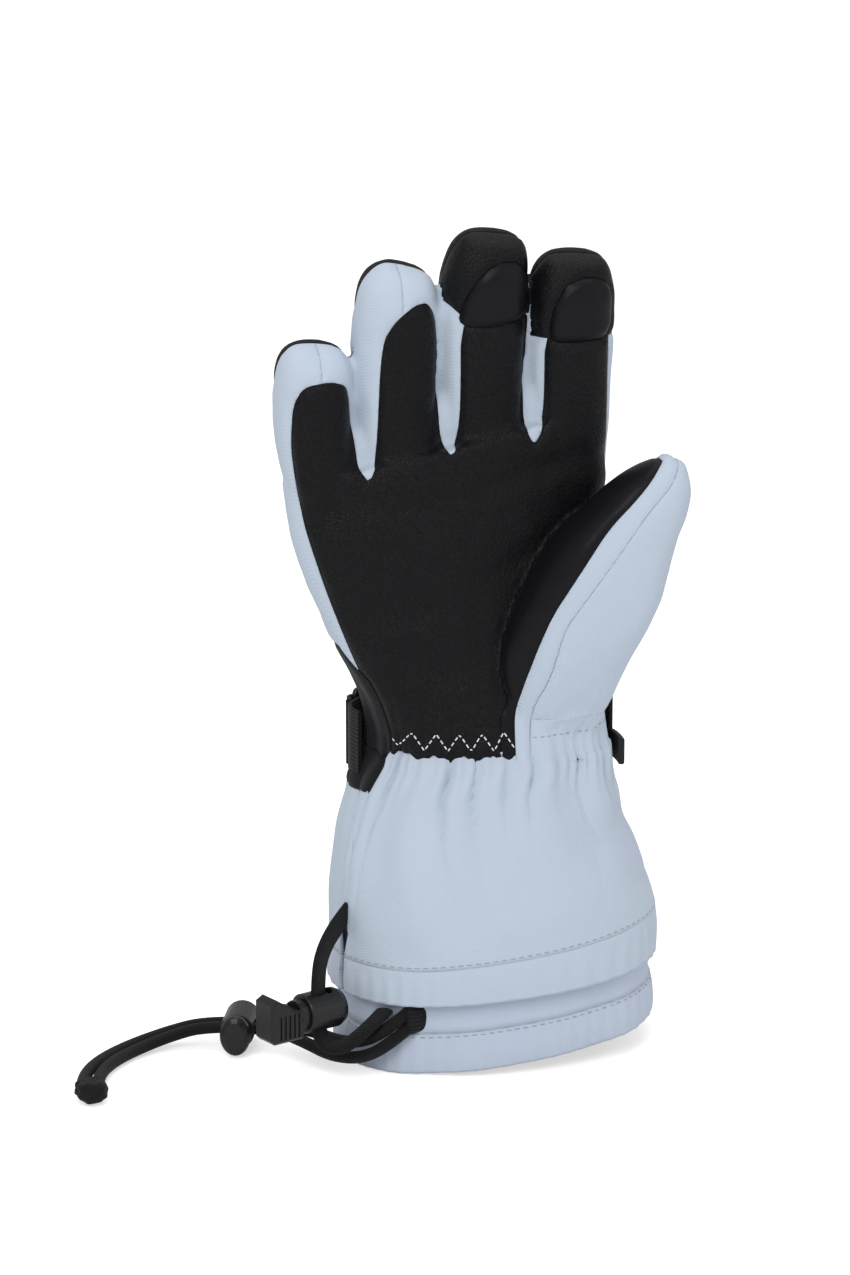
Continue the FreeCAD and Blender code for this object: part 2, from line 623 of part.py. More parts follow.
def cord_tube(name, route, diameter):
    """Tube along straight runs that are joined by tangent arcs."""
    points = [V(*p) for p in route]
    edges, radii = [], []
    start = points[0]
    for before, corner, after in zip(points, points[1:], points[2:]):
        run = min((corner - before).Length, (after - corner).Length)
        inward = (before - corner).normalize()
        onward = (after - corner).normalize()
        turn = math.pi - inward.getAngle(onward)
        trim = 0.45 * run
        radius = trim / math.tan(turn / 2.0)
        first = corner + inward * trim
        last = corner + onward * trim
        bisect = (inward + onward).normalize()
        middle = corner + bisect * (radius / math.cos(turn / 2.0) - radius)
        edges.append(Part.LineSegment(start, first).toShape())
        edges.append(Part.Arc(first, middle, last).toShape())
        radii.append(radius)
        start = last
    edges.append(Part.LineSegment(start, points[-1]).toShape())
    path = Part.Wire(edges)
    along = (points[1] - points[0]).normalize()
    side = along.cross(V(0, 0, 1)).normalize()
    r = diameter / 2.0
    ring = section(points[0], side, along.cross(side), r, r, CORD_SIDES, 2.0)
    tube = path.makePipeShell([Part.makePolygon(ring + [ring[0]])], True, False)
    area = CORD_SIDES / 2.0 * r * r * math.sin(2.0 * math.pi / CORD_SIDES)
    expected = area * path.Length
    print("%s: length %.1f, least radius %.1f, volume %.3f of expected"
          % (name, path.Length, min(radii), tube.Volume / expected))
    print("   radii", " ".join("%.0f" % r for r in radii))
    return tube


def build_knot():
    """Gathered end of the leash."""
    base = V(-157.4, -33.0, 4.7)
    rings = []
    for d, a, b in ((0.0, 5.4, 3.6), (2.6, 6.0, 4.3), (7.0, 5.2, 4.4),
                    (10.4, 3.2, 2.8)):
        centre = base + V(0.06, -1.0, 0.0) * d
        rings.append(section(centre, V(1, 0.06, 0), V(0, 0, 1), a, b, 10, 2.0))
    return facet_loft(rings)


def build_cords(nodes):
    nodes["drawcord"] = cord_tube("drawcord", DRAWCORD_ROUTE, CORD_D)
    nodes["leash_strand_a"] = cord_tube("leash_strand_a", LEASH_A_ROUTE, LEASH_D)
    nodes["leash_strand_b"] = cord_tube("leash_strand_b", LEASH_B_ROUTE, LEASH_D)
    nodes["leash_knot"] = build_knot()
    anchor = box(-40.0, -31.0, -36.0, -20.0, 15.6, 26.6)
    rim = facet_loft(cuff_rings(ring_gap, CUFF_SIDES, 0.0))
    nodes["leash_anchor"] = anchor.cut(rim)


# ---- cord locks -----------------------------------------------------------
def cord_slot(width, height, depth):
    """Slot through the barrel, along local Z, with its corners cut off."""
    w, h, c = width / 2.0, height / 2.0, height / 4.0
    outline = [(-w, -h + c), (-w + c, -h), (w - c, -h), (w, -h + c),
               (w, h - c), (w - c, h), (-w + c, h), (-w, h - c)]
    return prism_xy(outline, -depth, depth)


def round_bar(radius, x0, x1, sides=16):
    """Bar along local X with flat sides, as the plunger's splined stem."""
    rings = [section(V(x, 0, 0), V(0, 1, 0), V(0, 0, 1), radius, radius, sides, 2.0)
             for x in (x0, x1)]
    return facet_loft(rings)


def turned(outline, sides=24):
    """Turned form about local X from (x, radius) points, with flat sides."""
    rings = [section(V(x, 0, 0), V(0, 1, 0), V(0, 0, 1), r, r, sides, 2.0)
             for x, r in outline]
    return facet_loft(rings)


def place_lock(shape, at, turn, roll):
    shape = shape.copy()
    shape.rotate(V(0, 0, 0), V(1, 0, 0), roll)
    shape.rotate(V(0, 0, 0), V(0, 0, 1), turn)
    shape.translate(at)
    return shape


def coil_spring(radius, wire, x0, length, turns):
    """Flat-wire coil along local X, twelve steps to a turn."""
    half = wire / 2.0
    steps = int(round(turns * 12))
    rings = []
    for i in range(steps + 1):
        t = 2.0 * math.pi * i / 12.0
        out = V(0, math.cos(t), math.sin(t))
        centre = V(x0 + half + (length - wire) * i / steps, 0, 0) + out * radius
        rings.append([centre + out * half + V(half, 0, 0),
                      centre - out * half + V(half, 0, 0),
                      centre - out * half - V(half, 0, 0),
                      centre + out * half - V(half, 0, 0)])
    return facet_loft(rings)


def build_lock(prefix, at, turn, roll, mouth, barrel_r, slot_w, slot_h, head):
    """Barrel with a cross slot, a plunger with the same slot, and a spring."""
    plunger_r = barrel_r - LOCK_WALL
    bore_r = plunger_r + LOCK_FIT
    nose = slot_w / 2.0 - LOCK_TRAVEL + NOSE_WALL
    floor = nose + SPRING_L + LOCK_TRAVEL + 0.2
    x0, x1 = -slot_w / 2.0 - mouth, floor + LOCK_FLOOR
    taper = barrel_r * 0.16
    outline = [(x0, barrel_r - 0.5), (x0 + 0.5, barrel_r),
               (x1 - 3.0 * taper, barrel_r), (x1 - taper, barrel_r - taper),
               (x1, barrel_r - 2.6 * taper)]
    barrel = turned(outline)
    bore = round_bar(bore_r, x0 - 1.0, floor)
    slot = cord_slot(slot_w, slot_h, barrel_r + 2.0)
    barrel = barrel.cut(bore).cut(slot)
    stem = round_bar(plunger_r, x0 - LOCK_TRAVEL - 1.0, nose)
    own_slot = slot.copy()
    own_slot.translate(V(-LOCK_TRAVEL, 0, 0))
    plunger = stem.cut(own_slot).fuse(head(x0 - LOCK_TRAVEL))
    spring = coil_spring(plunger_r - 1.6, SPRING_WIRE, nose, SPRING_L, SPRING_TURNS)
    nodes = {
        prefix + "_lock_body": place_lock(barrel, at, turn, roll),
        prefix + "_lock_button": place_lock(plunger, at, turn, roll),
        prefix + "_lock_spring": place_lock(spring, at, turn, roll),
    }
    return nodes


GRIP_L = 14.0
GRIP_D = 11.0
GRIP_LOW = -7.4
GRIP_HIGH_IN = 3.4
GRIP_HIGH_OUT = 9.4
GRIP_RIBS = 5


def grip_head(x):
    """Ribbed pull grip: taller at its outer end, grooved on both faces."""
    x_in, x_out = x - 0.6, x - 0.6 - GRIP_L
    profile = [(x_in, GRIP_LOW), (x_in, GRIP_HIGH_IN), (x_in - 3.0, GRIP_HIGH_IN + 0.6),
               (x_out + 3.0, GRIP_HIGH_OUT), (x_out, GRIP_HIGH_OUT - 1.6),
               (x_out, GRIP_LOW + 1.6), (x_out + 1.6, GRIP_LOW)]
    grip = prism_xz(profile, -GRIP_D / 2.0, GRIP_D / 2.0)
    edges = [e for e in grip.Edges if abs(e.BoundBox.YMin - e.BoundBox.YMax) < 1e-6
             and e.BoundBox.XMin < x_in - 1.0]
    grip = grip.makeChamfer(0.9, edges)
    grooves = []
    pitch = 2.0
    for i in range(GRIP_RIBS):
        gx = x_in - 1.6 - pitch * i
        for side in (-1, 1):
            y = side * GRIP_D / 2.0
            grooves.append(box(gx - 0.9, gx, y - 0.45, y + 0.45,
                               GRIP_LOW + 1.6, GRIP_HIGH_IN - 0.4))
    hole = Part.makeCylinder(PIN_HOLE_D / 2.0, 4.0, V(x_in - 3.4, 0, GRIP_LOW - 1.0),
                             V(0, 0, 1))
    return grip.cut(join(grooves + [hole]))


HEAD_W = 11.4
HEAD_H = 15.4
HEAD_T = 3.6


def oval_head(x):
    """Oval thumb button; its long axis is upright."""
    rings = []
    for dx, inset in ((0.6, 0.6), (0.0, 0.0), (-HEAD_T + 2.0, 0.0),
                      (-HEAD_T + 0.8, 0.6), (-HEAD_T, 2.0)):
        rings.append(section(V(x - 0.6 + dx, 0, 0), V(0, 1, 0), V(0, 0, 1),
                             HEAD_H / 2.0 - inset, HEAD_W / 2.0 - inset, 24, 2.0))
    return facet_loft(rings)


def build_locks(nodes):
    nodes.update(build_lock("drawcord", DRAW_LOCK_AT, DRAW_LOCK_TURN, 0.0,
                            4.3, 7.4, 8.4, 6.0, grip_head))
    nodes.update(build_lock("leash", LEASH_LOCK_AT, LEASH_LOCK_TURN, 90.0,
                            2.3, 6.6, 12.8, 5.4, oval_head))


# ---- whole glove ----------------------------------------------------------
def build():
    nodes = {}
    t1 = SHELL_T
    t2 = t1 + INSULATION_T
    t3 = t2 + LINING_T
    hand0 = facet_loft(hand_rings(0.0, HAND_SIDES))
    digits0 = {n: facet_loft(digit_rings(n, 0.0, DIGIT_SIDES)) for n in DIGITS}
    cavity1 = hand_cavity(t1, False)
    cavity2, cavity3 = [hand_cavity(t) for t in (t2, t3)]
    build_hand_shell(nodes, hand0, digits0, cavity1)
    build_cuff(nodes)
    build_layers(nodes, cavity1, cavity2, cavity3)
    build_strap(nodes)
    build_cords(nodes)
    build_locks(nodes)
    return nodes


def export(nodes):
    os.makedirs("parts", exist_ok=True)
    for name, shape in nodes.items():
        shape = main_solids(shape)
        shape.exportStep("parts/%s.step" % name)
        print("%-26s solids %d volume %10.1f valid %s"
              % (name, len(shape.Solids), shape.Volume, shape.isValid()))


export(build())
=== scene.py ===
"""Looks of the insulated gauntlet glove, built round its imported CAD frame.

Lengths are in millimetres in the frame's own axes (+Z to the fingertips, -Y out of the
palm, +X to the thumb side) and are turned into metres where a mesh or curve is made.
"""

import json
import math

import bpy
import numpy as np
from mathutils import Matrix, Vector
from mathutils.bvhtree import BVHTree
from mathutils.kdtree import KDTree

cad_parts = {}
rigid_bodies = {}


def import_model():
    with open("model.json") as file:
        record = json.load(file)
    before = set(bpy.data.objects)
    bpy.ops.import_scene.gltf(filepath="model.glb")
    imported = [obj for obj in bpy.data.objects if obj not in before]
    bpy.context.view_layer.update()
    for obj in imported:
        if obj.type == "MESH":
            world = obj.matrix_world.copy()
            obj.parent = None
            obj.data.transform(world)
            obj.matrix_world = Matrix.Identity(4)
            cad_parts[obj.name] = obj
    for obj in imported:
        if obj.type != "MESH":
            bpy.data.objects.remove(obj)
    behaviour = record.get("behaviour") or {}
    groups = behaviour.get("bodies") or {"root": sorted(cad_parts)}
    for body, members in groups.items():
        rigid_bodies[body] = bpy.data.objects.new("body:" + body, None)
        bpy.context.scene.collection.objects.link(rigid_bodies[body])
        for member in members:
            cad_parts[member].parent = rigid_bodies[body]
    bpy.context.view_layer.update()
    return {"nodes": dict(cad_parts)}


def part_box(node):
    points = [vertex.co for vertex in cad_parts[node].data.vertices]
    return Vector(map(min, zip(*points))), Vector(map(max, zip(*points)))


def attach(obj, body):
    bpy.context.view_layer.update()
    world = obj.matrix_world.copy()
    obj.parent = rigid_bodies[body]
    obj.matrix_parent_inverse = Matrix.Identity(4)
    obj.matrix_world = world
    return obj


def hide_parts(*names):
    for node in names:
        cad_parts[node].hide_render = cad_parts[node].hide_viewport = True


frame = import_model()

MM = 0.001

# ---- the glove's main forms, as in the CAD source
CUFF_ROWS = [
    (0.0, 0.0, 62.0, 43.5, 0.0), (27.0, 0.0, 62.3, 44.0, 0.0),
    (50.0, -0.4, 61.6, 43.6, 0.0), (70.0, -1.8, 58.0, 41.0, 1.5),
    (86.0, -3.2, 52.6, 36.8, 4.0), (100.0, -3.4, 46.6, 32.4, 7.0),
    (112.0, -1.0, 42.4, 28.8, 8.0),
]
HAND_ROWS = [
    (112.0, -1.0, 42.4, 28.8, 8.0, 0.0), (120.0, -1.2, 42.0, 27.2, 8.0, 0.0),
    (130.0, -3.0, 43.0, 25.4, 7.0, 0.0), (158.0, -11.0, 49.2, 21.6, 2.5, 0.04),
    (205.0, -17.8, 58.9, 19.8, 0.0, 0.15), (229.0, -19.6, 61.0, 17.6, 0.0, 0.21),
]
DIGITS = {
    "little": [
        (-63.4, 0.0, 206.0, 12.0, 13.0), (-68.3, -1.5, 243.0, 14.1, 14.8),
        (-68.2, -4.0, 256.0, 13.8, 14.0), (-68.0, -6.4, 263.0, 12.2, 11.2),
        (-67.8, -7.6, 266.0, 9.6, 7.6),
    ],
    "ring": [
        (-37.0, 0.0, 210.0, 12.8, 13.2), (-38.4, -3.0, 268.0, 15.4, 15.0),
        (-38.2, -7.0, 284.0, 14.6, 13.8), (-36.6, -9.4, 290.6, 12.4, 10.8),
        (-35.8, -10.6, 293.6, 9.8, 7.6),
    ],
    "middle": [
        (-5.6, 0.0, 212.0, 12.8, 13.2), (-7.0, -4.0, 279.0, 16.2, 15.6),
        (-5.9, -8.2, 294.0, 14.9, 14.6), (-4.6, -11.0, 301.2, 12.9, 11.6),
        (-4.2, -12.4, 304.4, 10.8, 8.2),
    ],
    "index": [
        (26.8, 0.0, 210.0, 13.0, 13.2), (25.6, -4.2, 272.0, 16.0, 15.6),
        (25.5, -8.2, 286.6, 15.2, 14.6), (25.9, -11.0, 293.2, 13.1, 11.6),
        (26.1, -12.2, 296.2, 11.0, 8.2),
    ],
    "thumb": [
        (12.0, -5.0, 119.0, 20.0, 15.0), (21.0, -18.0, 154.0, 24.0, 18.2),
        (31.6, -25.0, 179.0, 23.0, 18.6), (45.0, -30.0, 204.0, 17.0, 16.6),
        (53.6, -32.6, 218.0, 11.2, 11.4), (57.4, -33.4, 225.6, 5.2, 5.4),
    ],
}
FINGERS = ("little", "ring", "middle", "index")
FINGER_EDGES = (-53.9, -23.0, 9.4)      # x between neighbouring fingers
WEBS = ((-53.0, 238.0), (-22.2, 250.0), (9.6, 252.0))   # (x, top) of the cloth between
BODY_POWER = 2.3
DIGIT_POWER = 2.4
SHELL_T = 1.4

HEM_Z = 27.0
HEM_TOP_Z = 40.5
WRIST_Z = 112.0
SADDLE_LOW_Z = 100.0
SADDLE_TOP_Z = 155.0
THUMB_BASE_Z = 152.0
SLIT_Y = -14.0
SLIT_TOP_Z = 62.0
# the cuff's edges rise towards the thumb: (height, rise at the thumb side)
CUFF_LEAN = [(0.0, 11.5), (15.0, 10.5), (27.0, 8.0), (40.5, 12.0), (60.0, 9.5),
             (80.0, 4.0), (100.0, 0.0)]
LEAN_FROM_X = -45.0
LEAN_TO_X = 60.0

# ---- seams, in the X-Z plane
LEATHER_OUTLINE = [
    (12.0, 108.0), (12.0, 133.0), (14.0, 150.0), (24.0, 174.0), (39.0, 196.0),
    (39.6, 211.0), (39.6, 233.0), (38.6, 264.0), (38.0, 276.0), (13.4, 276.0),
    (14.2, 236.0), (10.4, 229.6), (7.4, 236.0), (8.6, 262.0), (9.0, 282.0),
    (-17.4, 282.0), (-16.6, 236.0), (-20.2, 226.6), (-23.6, 234.0),
    (-23.4, 262.0), (-24.8, 278.0), (-28.6, 283.6), (-34.0, 283.2),
    (-41.0, 277.6), (-46.0, 269.0), (-47.2, 226.0), (-50.2, 218.4),
    (-53.6, 224.0), (-54.8, 246.0), (-57.0, 254.0), (-64.0, 256.4),
    (-74.0, 254.8), (-77.8, 247.6), (-78.4, 232.0), (-76.2, 217.0),
    (-72.2, 199.0), (-65.2, 177.0), (-58.0, 158.0), (-50.0, 139.0),
    (-47.0, 121.0), (-47.0, 108.0),
]
PAD_ARCH = {
    "middle": [(-18.8, 274.4), (-16.4, 284.0), (-11.0, 293.0), (-4.0, 297.8),
               (3.4, 297.6), (8.4, 291.6), (9.8, 276.4), (-4.0, 273.6)],
    "index": [(14.4, 267.2), (16.2, 281.0), (20.0, 288.0), (25.6, 291.0),
              (32.6, 291.0), (39.0, 287.4), (39.4, 268.6), (27.0, 266.8)],
}
CAP_LOW_Z = {"middle": 277.0, "index": 268.5}
BACK_TIP_Z = {"little": 246.0, "ring": 272.0, "middle": 284.0, "index": 276.0}
THUMB_CREASE_X = -3.6     # low down, where the thumb's bulge has not begun
THUMB_SEAM_A = [(1.3, 105.0), (1.3, 132.9), (4.2, 146.8), (7.8, 159.6),
                (12.4, 172.3), (20.4, 186.6), (31.2, 204.3), (45.0, 218.4),
                (56.0, 231.0)]
THUMB_SEAM_B = [(7.2, 105.0), (7.2, 134.5), (12.6, 147.2), (16.2, 165.5),
                (19.0, 170.8), (27.0, 183.3), (34.2, 193.9), (45.0, 209.8),
                (57.0, 221.4), (60.0, 231.0)]
BACK_SEAM = [(112.0, -10.0), (143.0, -10.0), (160.0, 0.0), (185.0, 8.0), (206.0, 8.0)]
LEATHER_BACK_Y = -2.5

# ---- strap
STRAP_W = 25.0
STRAP_Z = 103.5
WEB_T = 1.6
RING_ANGLE = 130.0
RING_HALF = 6.0
RING_BAR_D = 2.6
LAYER = 0.3

# ---- cords: the routes of the CAD source
DRAWCORD_ROUTE = [
    (-57.8, -13.8, 58.2), (-63.6, -18.8, 54.0), (-69.4, -25.2, 48.2),
    (-72.6, -30.0, 41.0), (-72.6, -30.0, 16.6), (-69.6, -32.4, 12.4),
    (-63.6, -34.2, 12.6), (-57.2, -34.0, 17.4), (-51.6, -32.0, 21.4),
    (-47.6, -28.6, 23.6),
]
LEASH_A_ROUTE = [
    (-39.0, -33.4, 18.6), (-48.4, -36.2, 12.4), (-57.2, -32.4, 7.2),
    (-66.0, -22.0, 5.0), (-73.6, -8.4, 6.2), (-83.4, 3.25, 8.1),
    (-108.12, 11.29, 8.1), (-121.5, 12.2, 4.6), (-134.2, 6.4, 2.6),
    (-144.8, -4.6, 2.6), (-152.2, -18.6, 2.6), (-154.6, -34.0, 3.4),
]
LEASH_B_ROUTE = [
    (-38.6, -32.6, 24.6), (-47.6, -34.6, 18.6), (-56.0, -30.6, 12.8),
    (-63.4, -19.8, 9.8), (-69.9, -5.0, 9.2), (-81.88, 7.91, 8.1),
    (-106.6, 15.95, 8.1), (-121.4, 17.4, 4.6), (-136.8, 10.8, 2.6),
    (-149.2, -2.0, 2.6), (-157.8, -17.6, 2.6), (-160.2, -33.6, 3.4),
]
DRAWCORD_FLAT = (8.2, 2.8)
LEASH_D = 4.6

# ---- stage and view: the camera in mm, the lamps in metres
CAMERA_AT = (-358.67, -1562.98, 584.34)
CAMERA_TARGET = (-17.27, 43.21, 144.35)
CAMERA_LENS = 128.0
CAMERA_SENSOR = 36.0
WORLD_LIGHT = 0.5
FLOOR_GLOW = 0.55         # keeps the floor white up to the horizon
LIGHT_TARGET = (0.0, 0.0, 0.14)
LIGHTS = [                # name, place, size, watts
    ("key", (-0.9, -1.5, 1.5), 1.2, 19.0), ("fill", (1.4, -1.2, 0.9), 1.6, 5.0),
    ("top", (0.1, 0.3, 1.9), 1.4, 8.0),
]

# ---- stitches and small parts
ZIGZAG_X = (-43.5, 5.5)
ZIGZAG_Z = (119.6, 126.0)
ZIGZAG_PERIODS = 6
ELASTIC_STITCH_X = (8.0, 41.0)
ELASTIC_STITCH_Z = 123.6
WALL_CENTRES = [-67.0, -38.3, -6.4, 26.0]
LINING_INSET = 4.9
INNER_HEM_TOP = 15.0
LOCK_EDGE = 0.35


# ---- camera and cords
def link(name, data):
    obj = bpy.data.objects.new(name, data)
    bpy.context.collection.objects.link(obj)
    return obj


def aim_at(obj, place, target):
    """Both in metres; the object looks along its own -Z."""
    obj.location = place
    aim = Vector(target) - obj.location
    obj.rotation_euler = aim.to_track_quat("-Z", "Y").to_euler()


def make_camera():
    data = bpy.data.cameras.new("camera")
    data.lens = CAMERA_LENS
    data.sensor_width = CAMERA_SENSOR
    camera = link("camera", data)
    aim_at(camera, Vector(CAMERA_AT) * MM, Vector(CAMERA_TARGET) * MM)
    bpy.context.scene.camera = camera


def new_curve(name, route, kind="POLY", dimensions="3D"):
    """Curve through points in mm: (its data, its spline)."""
    data = bpy.data.curves.new(name, "CURVE")
    data.dimensions = dimensions
    spline = data.splines.new(kind)
    spline.points.add(len(route) - 1)
    for point, place in zip(spline.points, route):
        point.co = (*(v * MM for v in place), 1.0)
    return data, spline


def nurbs_cord(name, route, radius, tilt=0.0):
    data, spline = new_curve(name, route, "NURBS")
    data.resolution_u = 10
    for point in spline.points:
        point.tilt = math.radians(tilt)
    spline.order_u = 3
    spline.use_endpoint_u = True
    data.bevel_depth = radius * MM
    data.bevel_resolution = 5
    data.use_fill_caps = True
    return link(name, data)


def flat_profile(name, width, thickness):
    """Hidden outline of a flat braid, for a curve's bevel."""
    outline = [(x, y, 0.0) for x, y in section(width / 2.0, thickness / 2.0, 2.6, 20)]
    data, spline = new_curve(name, outline, dimensions="2D")
    spline.use_cyclic_u = True
    obj = link(name, data)
    obj.hide_render = True
    obj.hide_viewport = True
    return obj


# ---- small maths
def section(a, b, power, count, bulge=0.0):
    """Points of a rounded section; the bulge pushes out the back left."""
    t = np.linspace(0.0, 2.0 * math.pi, count, endpoint=False)
    c, s = np.cos(t), np.sin(t)
    x = a * np.sign(c) * np.abs(c) ** (2.0 / power)
    y = b * np.sign(s) * np.abs(s) ** (2.0 / power)
    x = x - 2.0 * bulge * np.maximum(0.0, s) * np.maximum(0.0, -c)
    return np.stack([x, y], axis=1)


def smooth_rows(knots, rows, at):
    """Monotone cubic through rows of numbers; no overshoot between them."""
    knots, rows, at = [np.asarray(a, float) for a in (knots, rows, at)]
    h = np.diff(knots)
    d = np.diff(rows, axis=0) / h[:, None]
    m = np.zeros_like(rows)
    m[0], m[-1] = d[0], d[-1]
    for i in range(1, len(knots) - 1):
        w1, w2 = 2.0 * h[i] + h[i - 1], h[i] + 2.0 * h[i - 1]
        same = d[i - 1] * d[i] > 0.0
        safe0 = np.where(same, d[i - 1], 1.0)
        safe1 = np.where(same, d[i], 1.0)
        m[i] = np.where(same, (w1 + w2) / (w1 / safe0 + w2 / safe1), 0.0)
    k = np.clip(np.searchsorted(knots, at, side="right") - 1, 0, len(knots) - 2)
    t = np.clip((at - knots[k]) / h[k], 0.0, 1.0)[:, None]
    hk = h[k][:, None]
    return ((1 + 2 * t) * (1 - t) ** 2 * rows[k] + t * (1 - t) ** 2 * hk * m[k]
            + t * t * (3 - 2 * t) * rows[k + 1] + t * t * (t - 1) * hk * m[k + 1])


def table_value(rows, z, column):
    rows = np.asarray(rows, float)
    return np.interp(z, rows[:, 0], rows[:, column])


def round_corners(points, times=2):
    """Closed outline with its corners cut off, again and again."""
    points = np.asarray(points, float)
    for _ in range(times):
        after = np.roll(points, -1, axis=0)
        points = np.stack([points * 0.8 + after * 0.2, points * 0.2 + after * 0.8], axis=1)
        points = points.reshape(-1, 2)
    return points


def run_length(points):
    """Distance along a line of points, from its first."""
    steps = np.linalg.norm(np.diff(points, axis=0), axis=1)
    return np.concatenate([[0.0], np.cumsum(steps)])


def outline_depth(points, x, z):
    """Distance inside a closed outline; negative outside it."""
    best = np.full(x.shape, 1e9)
    inside = np.zeros(x.shape, bool)
    for (x0, z0), (x1, z1) in zip(points, np.roll(points, -1, axis=0)):
        dx, dz = x1 - x0, z1 - z0
        t = np.clip(((x - x0) * dx + (z - z0) * dz) / max(dx * dx + dz * dz, 1e-12), 0, 1)
        best = np.minimum(best, np.hypot(x - x0 - t * dx, z - z0 - t * dz))
        if abs(dz) > 1e-12:
            crosses = (z0 > z) != (z1 > z)
            inside ^= crosses & (x < x0 + (z - z0) * dx / dz)
    return np.where(inside, best, -best)


def waves(p, seed, size, count=7):
    """Soft random relief from a few slanted waves; about -1 to 1."""
    rng = np.random.default_rng(seed)
    total = np.zeros(len(p))
    for _ in range(count):
        direction = rng.normal(size=3)
        direction /= np.linalg.norm(direction)
        length = size * rng.uniform(0.6, 1.6)
        bend = 1.2 * np.sin(p @ rng.normal(size=3) / size + rng.uniform(0, 6.28))
        total += np.sin(2.0 * math.pi * (p @ direction) / length + bend
                        + rng.uniform(0, 6.28))
    return total / count * 1.6


# ---- meshes
def grid_mesh(rings, close_low=False, close_high=False):
    """Triangles over rings of points, each ring closed on itself."""
    n, m, _ = rings.shape
    points = rings.reshape(-1, 3)
    i, j = np.meshgrid(np.arange(n - 1), np.arange(m), indexing="ij")
    a = i * m + j
    b = i * m + (j + 1) % m
    c, d = b + m, a + m
    tris = np.concatenate([np.stack([a, b, c], -1).reshape(-1, 3),
                           np.stack([a, c, d], -1).reshape(-1, 3)])
    extra, k = [], len(points)
    for wanted, row, turn in ((close_low, 0, -1), (close_high, n - 1, 1)):
        if wanted:
            extra.append(rings[row].mean(axis=0))
            ring = row * m + np.arange(m)
            fan = np.stack([ring, np.roll(ring, -1), np.full(m, k)], -1)
            tris = np.concatenate([tris, fan[:, ::turn]])
            k += 1
    if extra:
        points = np.concatenate([points, np.array(extra)])
    return points, tris


def normals_of(points, tris):
    face = np.cross(points[tris[:, 1]] - points[tris[:, 0]],
                    points[tris[:, 2]] - points[tris[:, 0]])
    normals = np.zeros_like(points)
    for k in range(3):
        np.add.at(normals, tris[:, k], face)
    return normals / np.maximum(np.linalg.norm(normals, axis=1), 1e-12)[:, None]


class Skin:
    """Triangles with a normal at each point that cutting keeps."""

    def __init__(self, points, tris, normals=None):
        self.p = points
        self.t = tris
        self.n = normals_of(points, tris) if normals is None else normals

    def tidy(self):
        used = np.unique(self.t)
        renumber = np.zeros(len(self.p), int)
        renumber[used] = np.arange(len(used))
        return Skin(self.p[used], renumber[self.t], self.n[used])


def cut(skin, value):
    """Cuts a skin along value = 0: (part above, part below)."""
    sign = value > 0.0
    corners = sign[skin.t]
    total = corners.sum(axis=1)
    mixed = (total == 1) | (total == 2)
    tris = skin.t[mixed]
    lone = corners[mixed] == (total[mixed] == 1)[:, None]
    first = lone.argmax(axis=1)
    rows = np.arange(len(tris))
    a, b, c = [tris[rows, (first + k) % 3] for k in range(3)]
    ends = np.concatenate([np.stack([a, b], 1), np.stack([a, c], 1)])
    keys, place = np.unique(np.sort(ends, axis=1), axis=0, return_inverse=True)
    place = place.reshape(-1)
    if len(keys):
        v0, v1 = value[keys[:, 0]], value[keys[:, 1]]
        f = np.clip(v0 / (v0 - v1), 0.01, 0.99)[:, None]
        new_p = skin.p[keys[:, 0]] * (1 - f) + skin.p[keys[:, 1]] * f
        new_n = skin.n[keys[:, 0]] * (1 - f) + skin.n[keys[:, 1]] * f
        new_n /= np.maximum(np.linalg.norm(new_n, axis=1), 1e-12)[:, None]
    else:
        new_p, new_n = np.zeros((0, 3)), np.zeros((0, 3))
    points = np.concatenate([skin.p, new_p])
    normals = np.concatenate([skin.n, new_n])
    ab, ac = np.split(place + len(skin.p), 2)
    tip = np.stack([a, ab, ac], 1)
    rest = np.concatenate([np.stack([ab, b, c], 1), np.stack([ab, c, ac], 1)])
    tip_up = sign[a]
    rest_up = np.concatenate([~tip_up, ~tip_up])
    above = np.concatenate([skin.t[total == 3], tip[tip_up], rest[rest_up]])
    below = np.concatenate([skin.t[total == 0], tip[~tip_up], rest[~rest_up]])
    return [Skin(points, t, normals).tidy() for t in (above, below)]


def merge(skins):
    points, tris, normals, k = [], [], [], 0
    for skin in skins:
        if len(skin.t):
            points.append(skin.p)
            normals.append(skin.n)
            tris.append(skin.t + k)
            k += len(skin.p)
    return Skin(np.concatenate(points), np.concatenate(tris), np.concatenate(normals))


def edge_points(skin):
    """Numbers of the points on a skin's free edges."""
    sides = np.concatenate([skin.t[:, [0, 1]], skin.t[:, [1, 2]], skin.t[:, [2, 0]]])
    keys, counts = np.unique(np.sort(sides, axis=1), axis=0, return_counts=True)
    return np.unique(keys[counts == 1])


def edge_distance(skin, reach):
    """Distance of each point from the skin's free edge, up to reach."""
    edge = edge_points(skin)
    tree = KDTree(len(edge))
    for i in edge:
        tree.insert(skin.p[i], int(i))
    tree.balance()
    return np.array([min(tree.find(p)[2], reach) for p in skin.p])


def new_object(name, points, tris, material, smooth=True):
    mesh = bpy.data.meshes.new(name)
    mesh.from_pydata((points * MM).tolist(), [], tris.tolist())
    mesh.polygons.foreach_set("use_smooth", [smooth] * len(mesh.polygons))
    mesh.materials.append(material)
    mesh.update()
    return link(name, mesh)


def thicken(obj, thickness):
    solid = obj.modifiers.new("thickness", "SOLIDIFY")
    solid.thickness = thickness * MM
    solid.offset = -1.0
    solid.use_even_offset = False
    return obj


def add_piece(obj, body, slot, *nodes):
    if nodes:
        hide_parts(*nodes)
    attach(obj, body)
    return obj


def plain(name, skin, mats, slot, thickness, *nodes):
    """Cloth without seams of its own."""
    obj = new_object(name, skin.p, skin.t, mats[slot])
    return add_piece(thicken(obj, thickness), "glove", slot, *nodes)


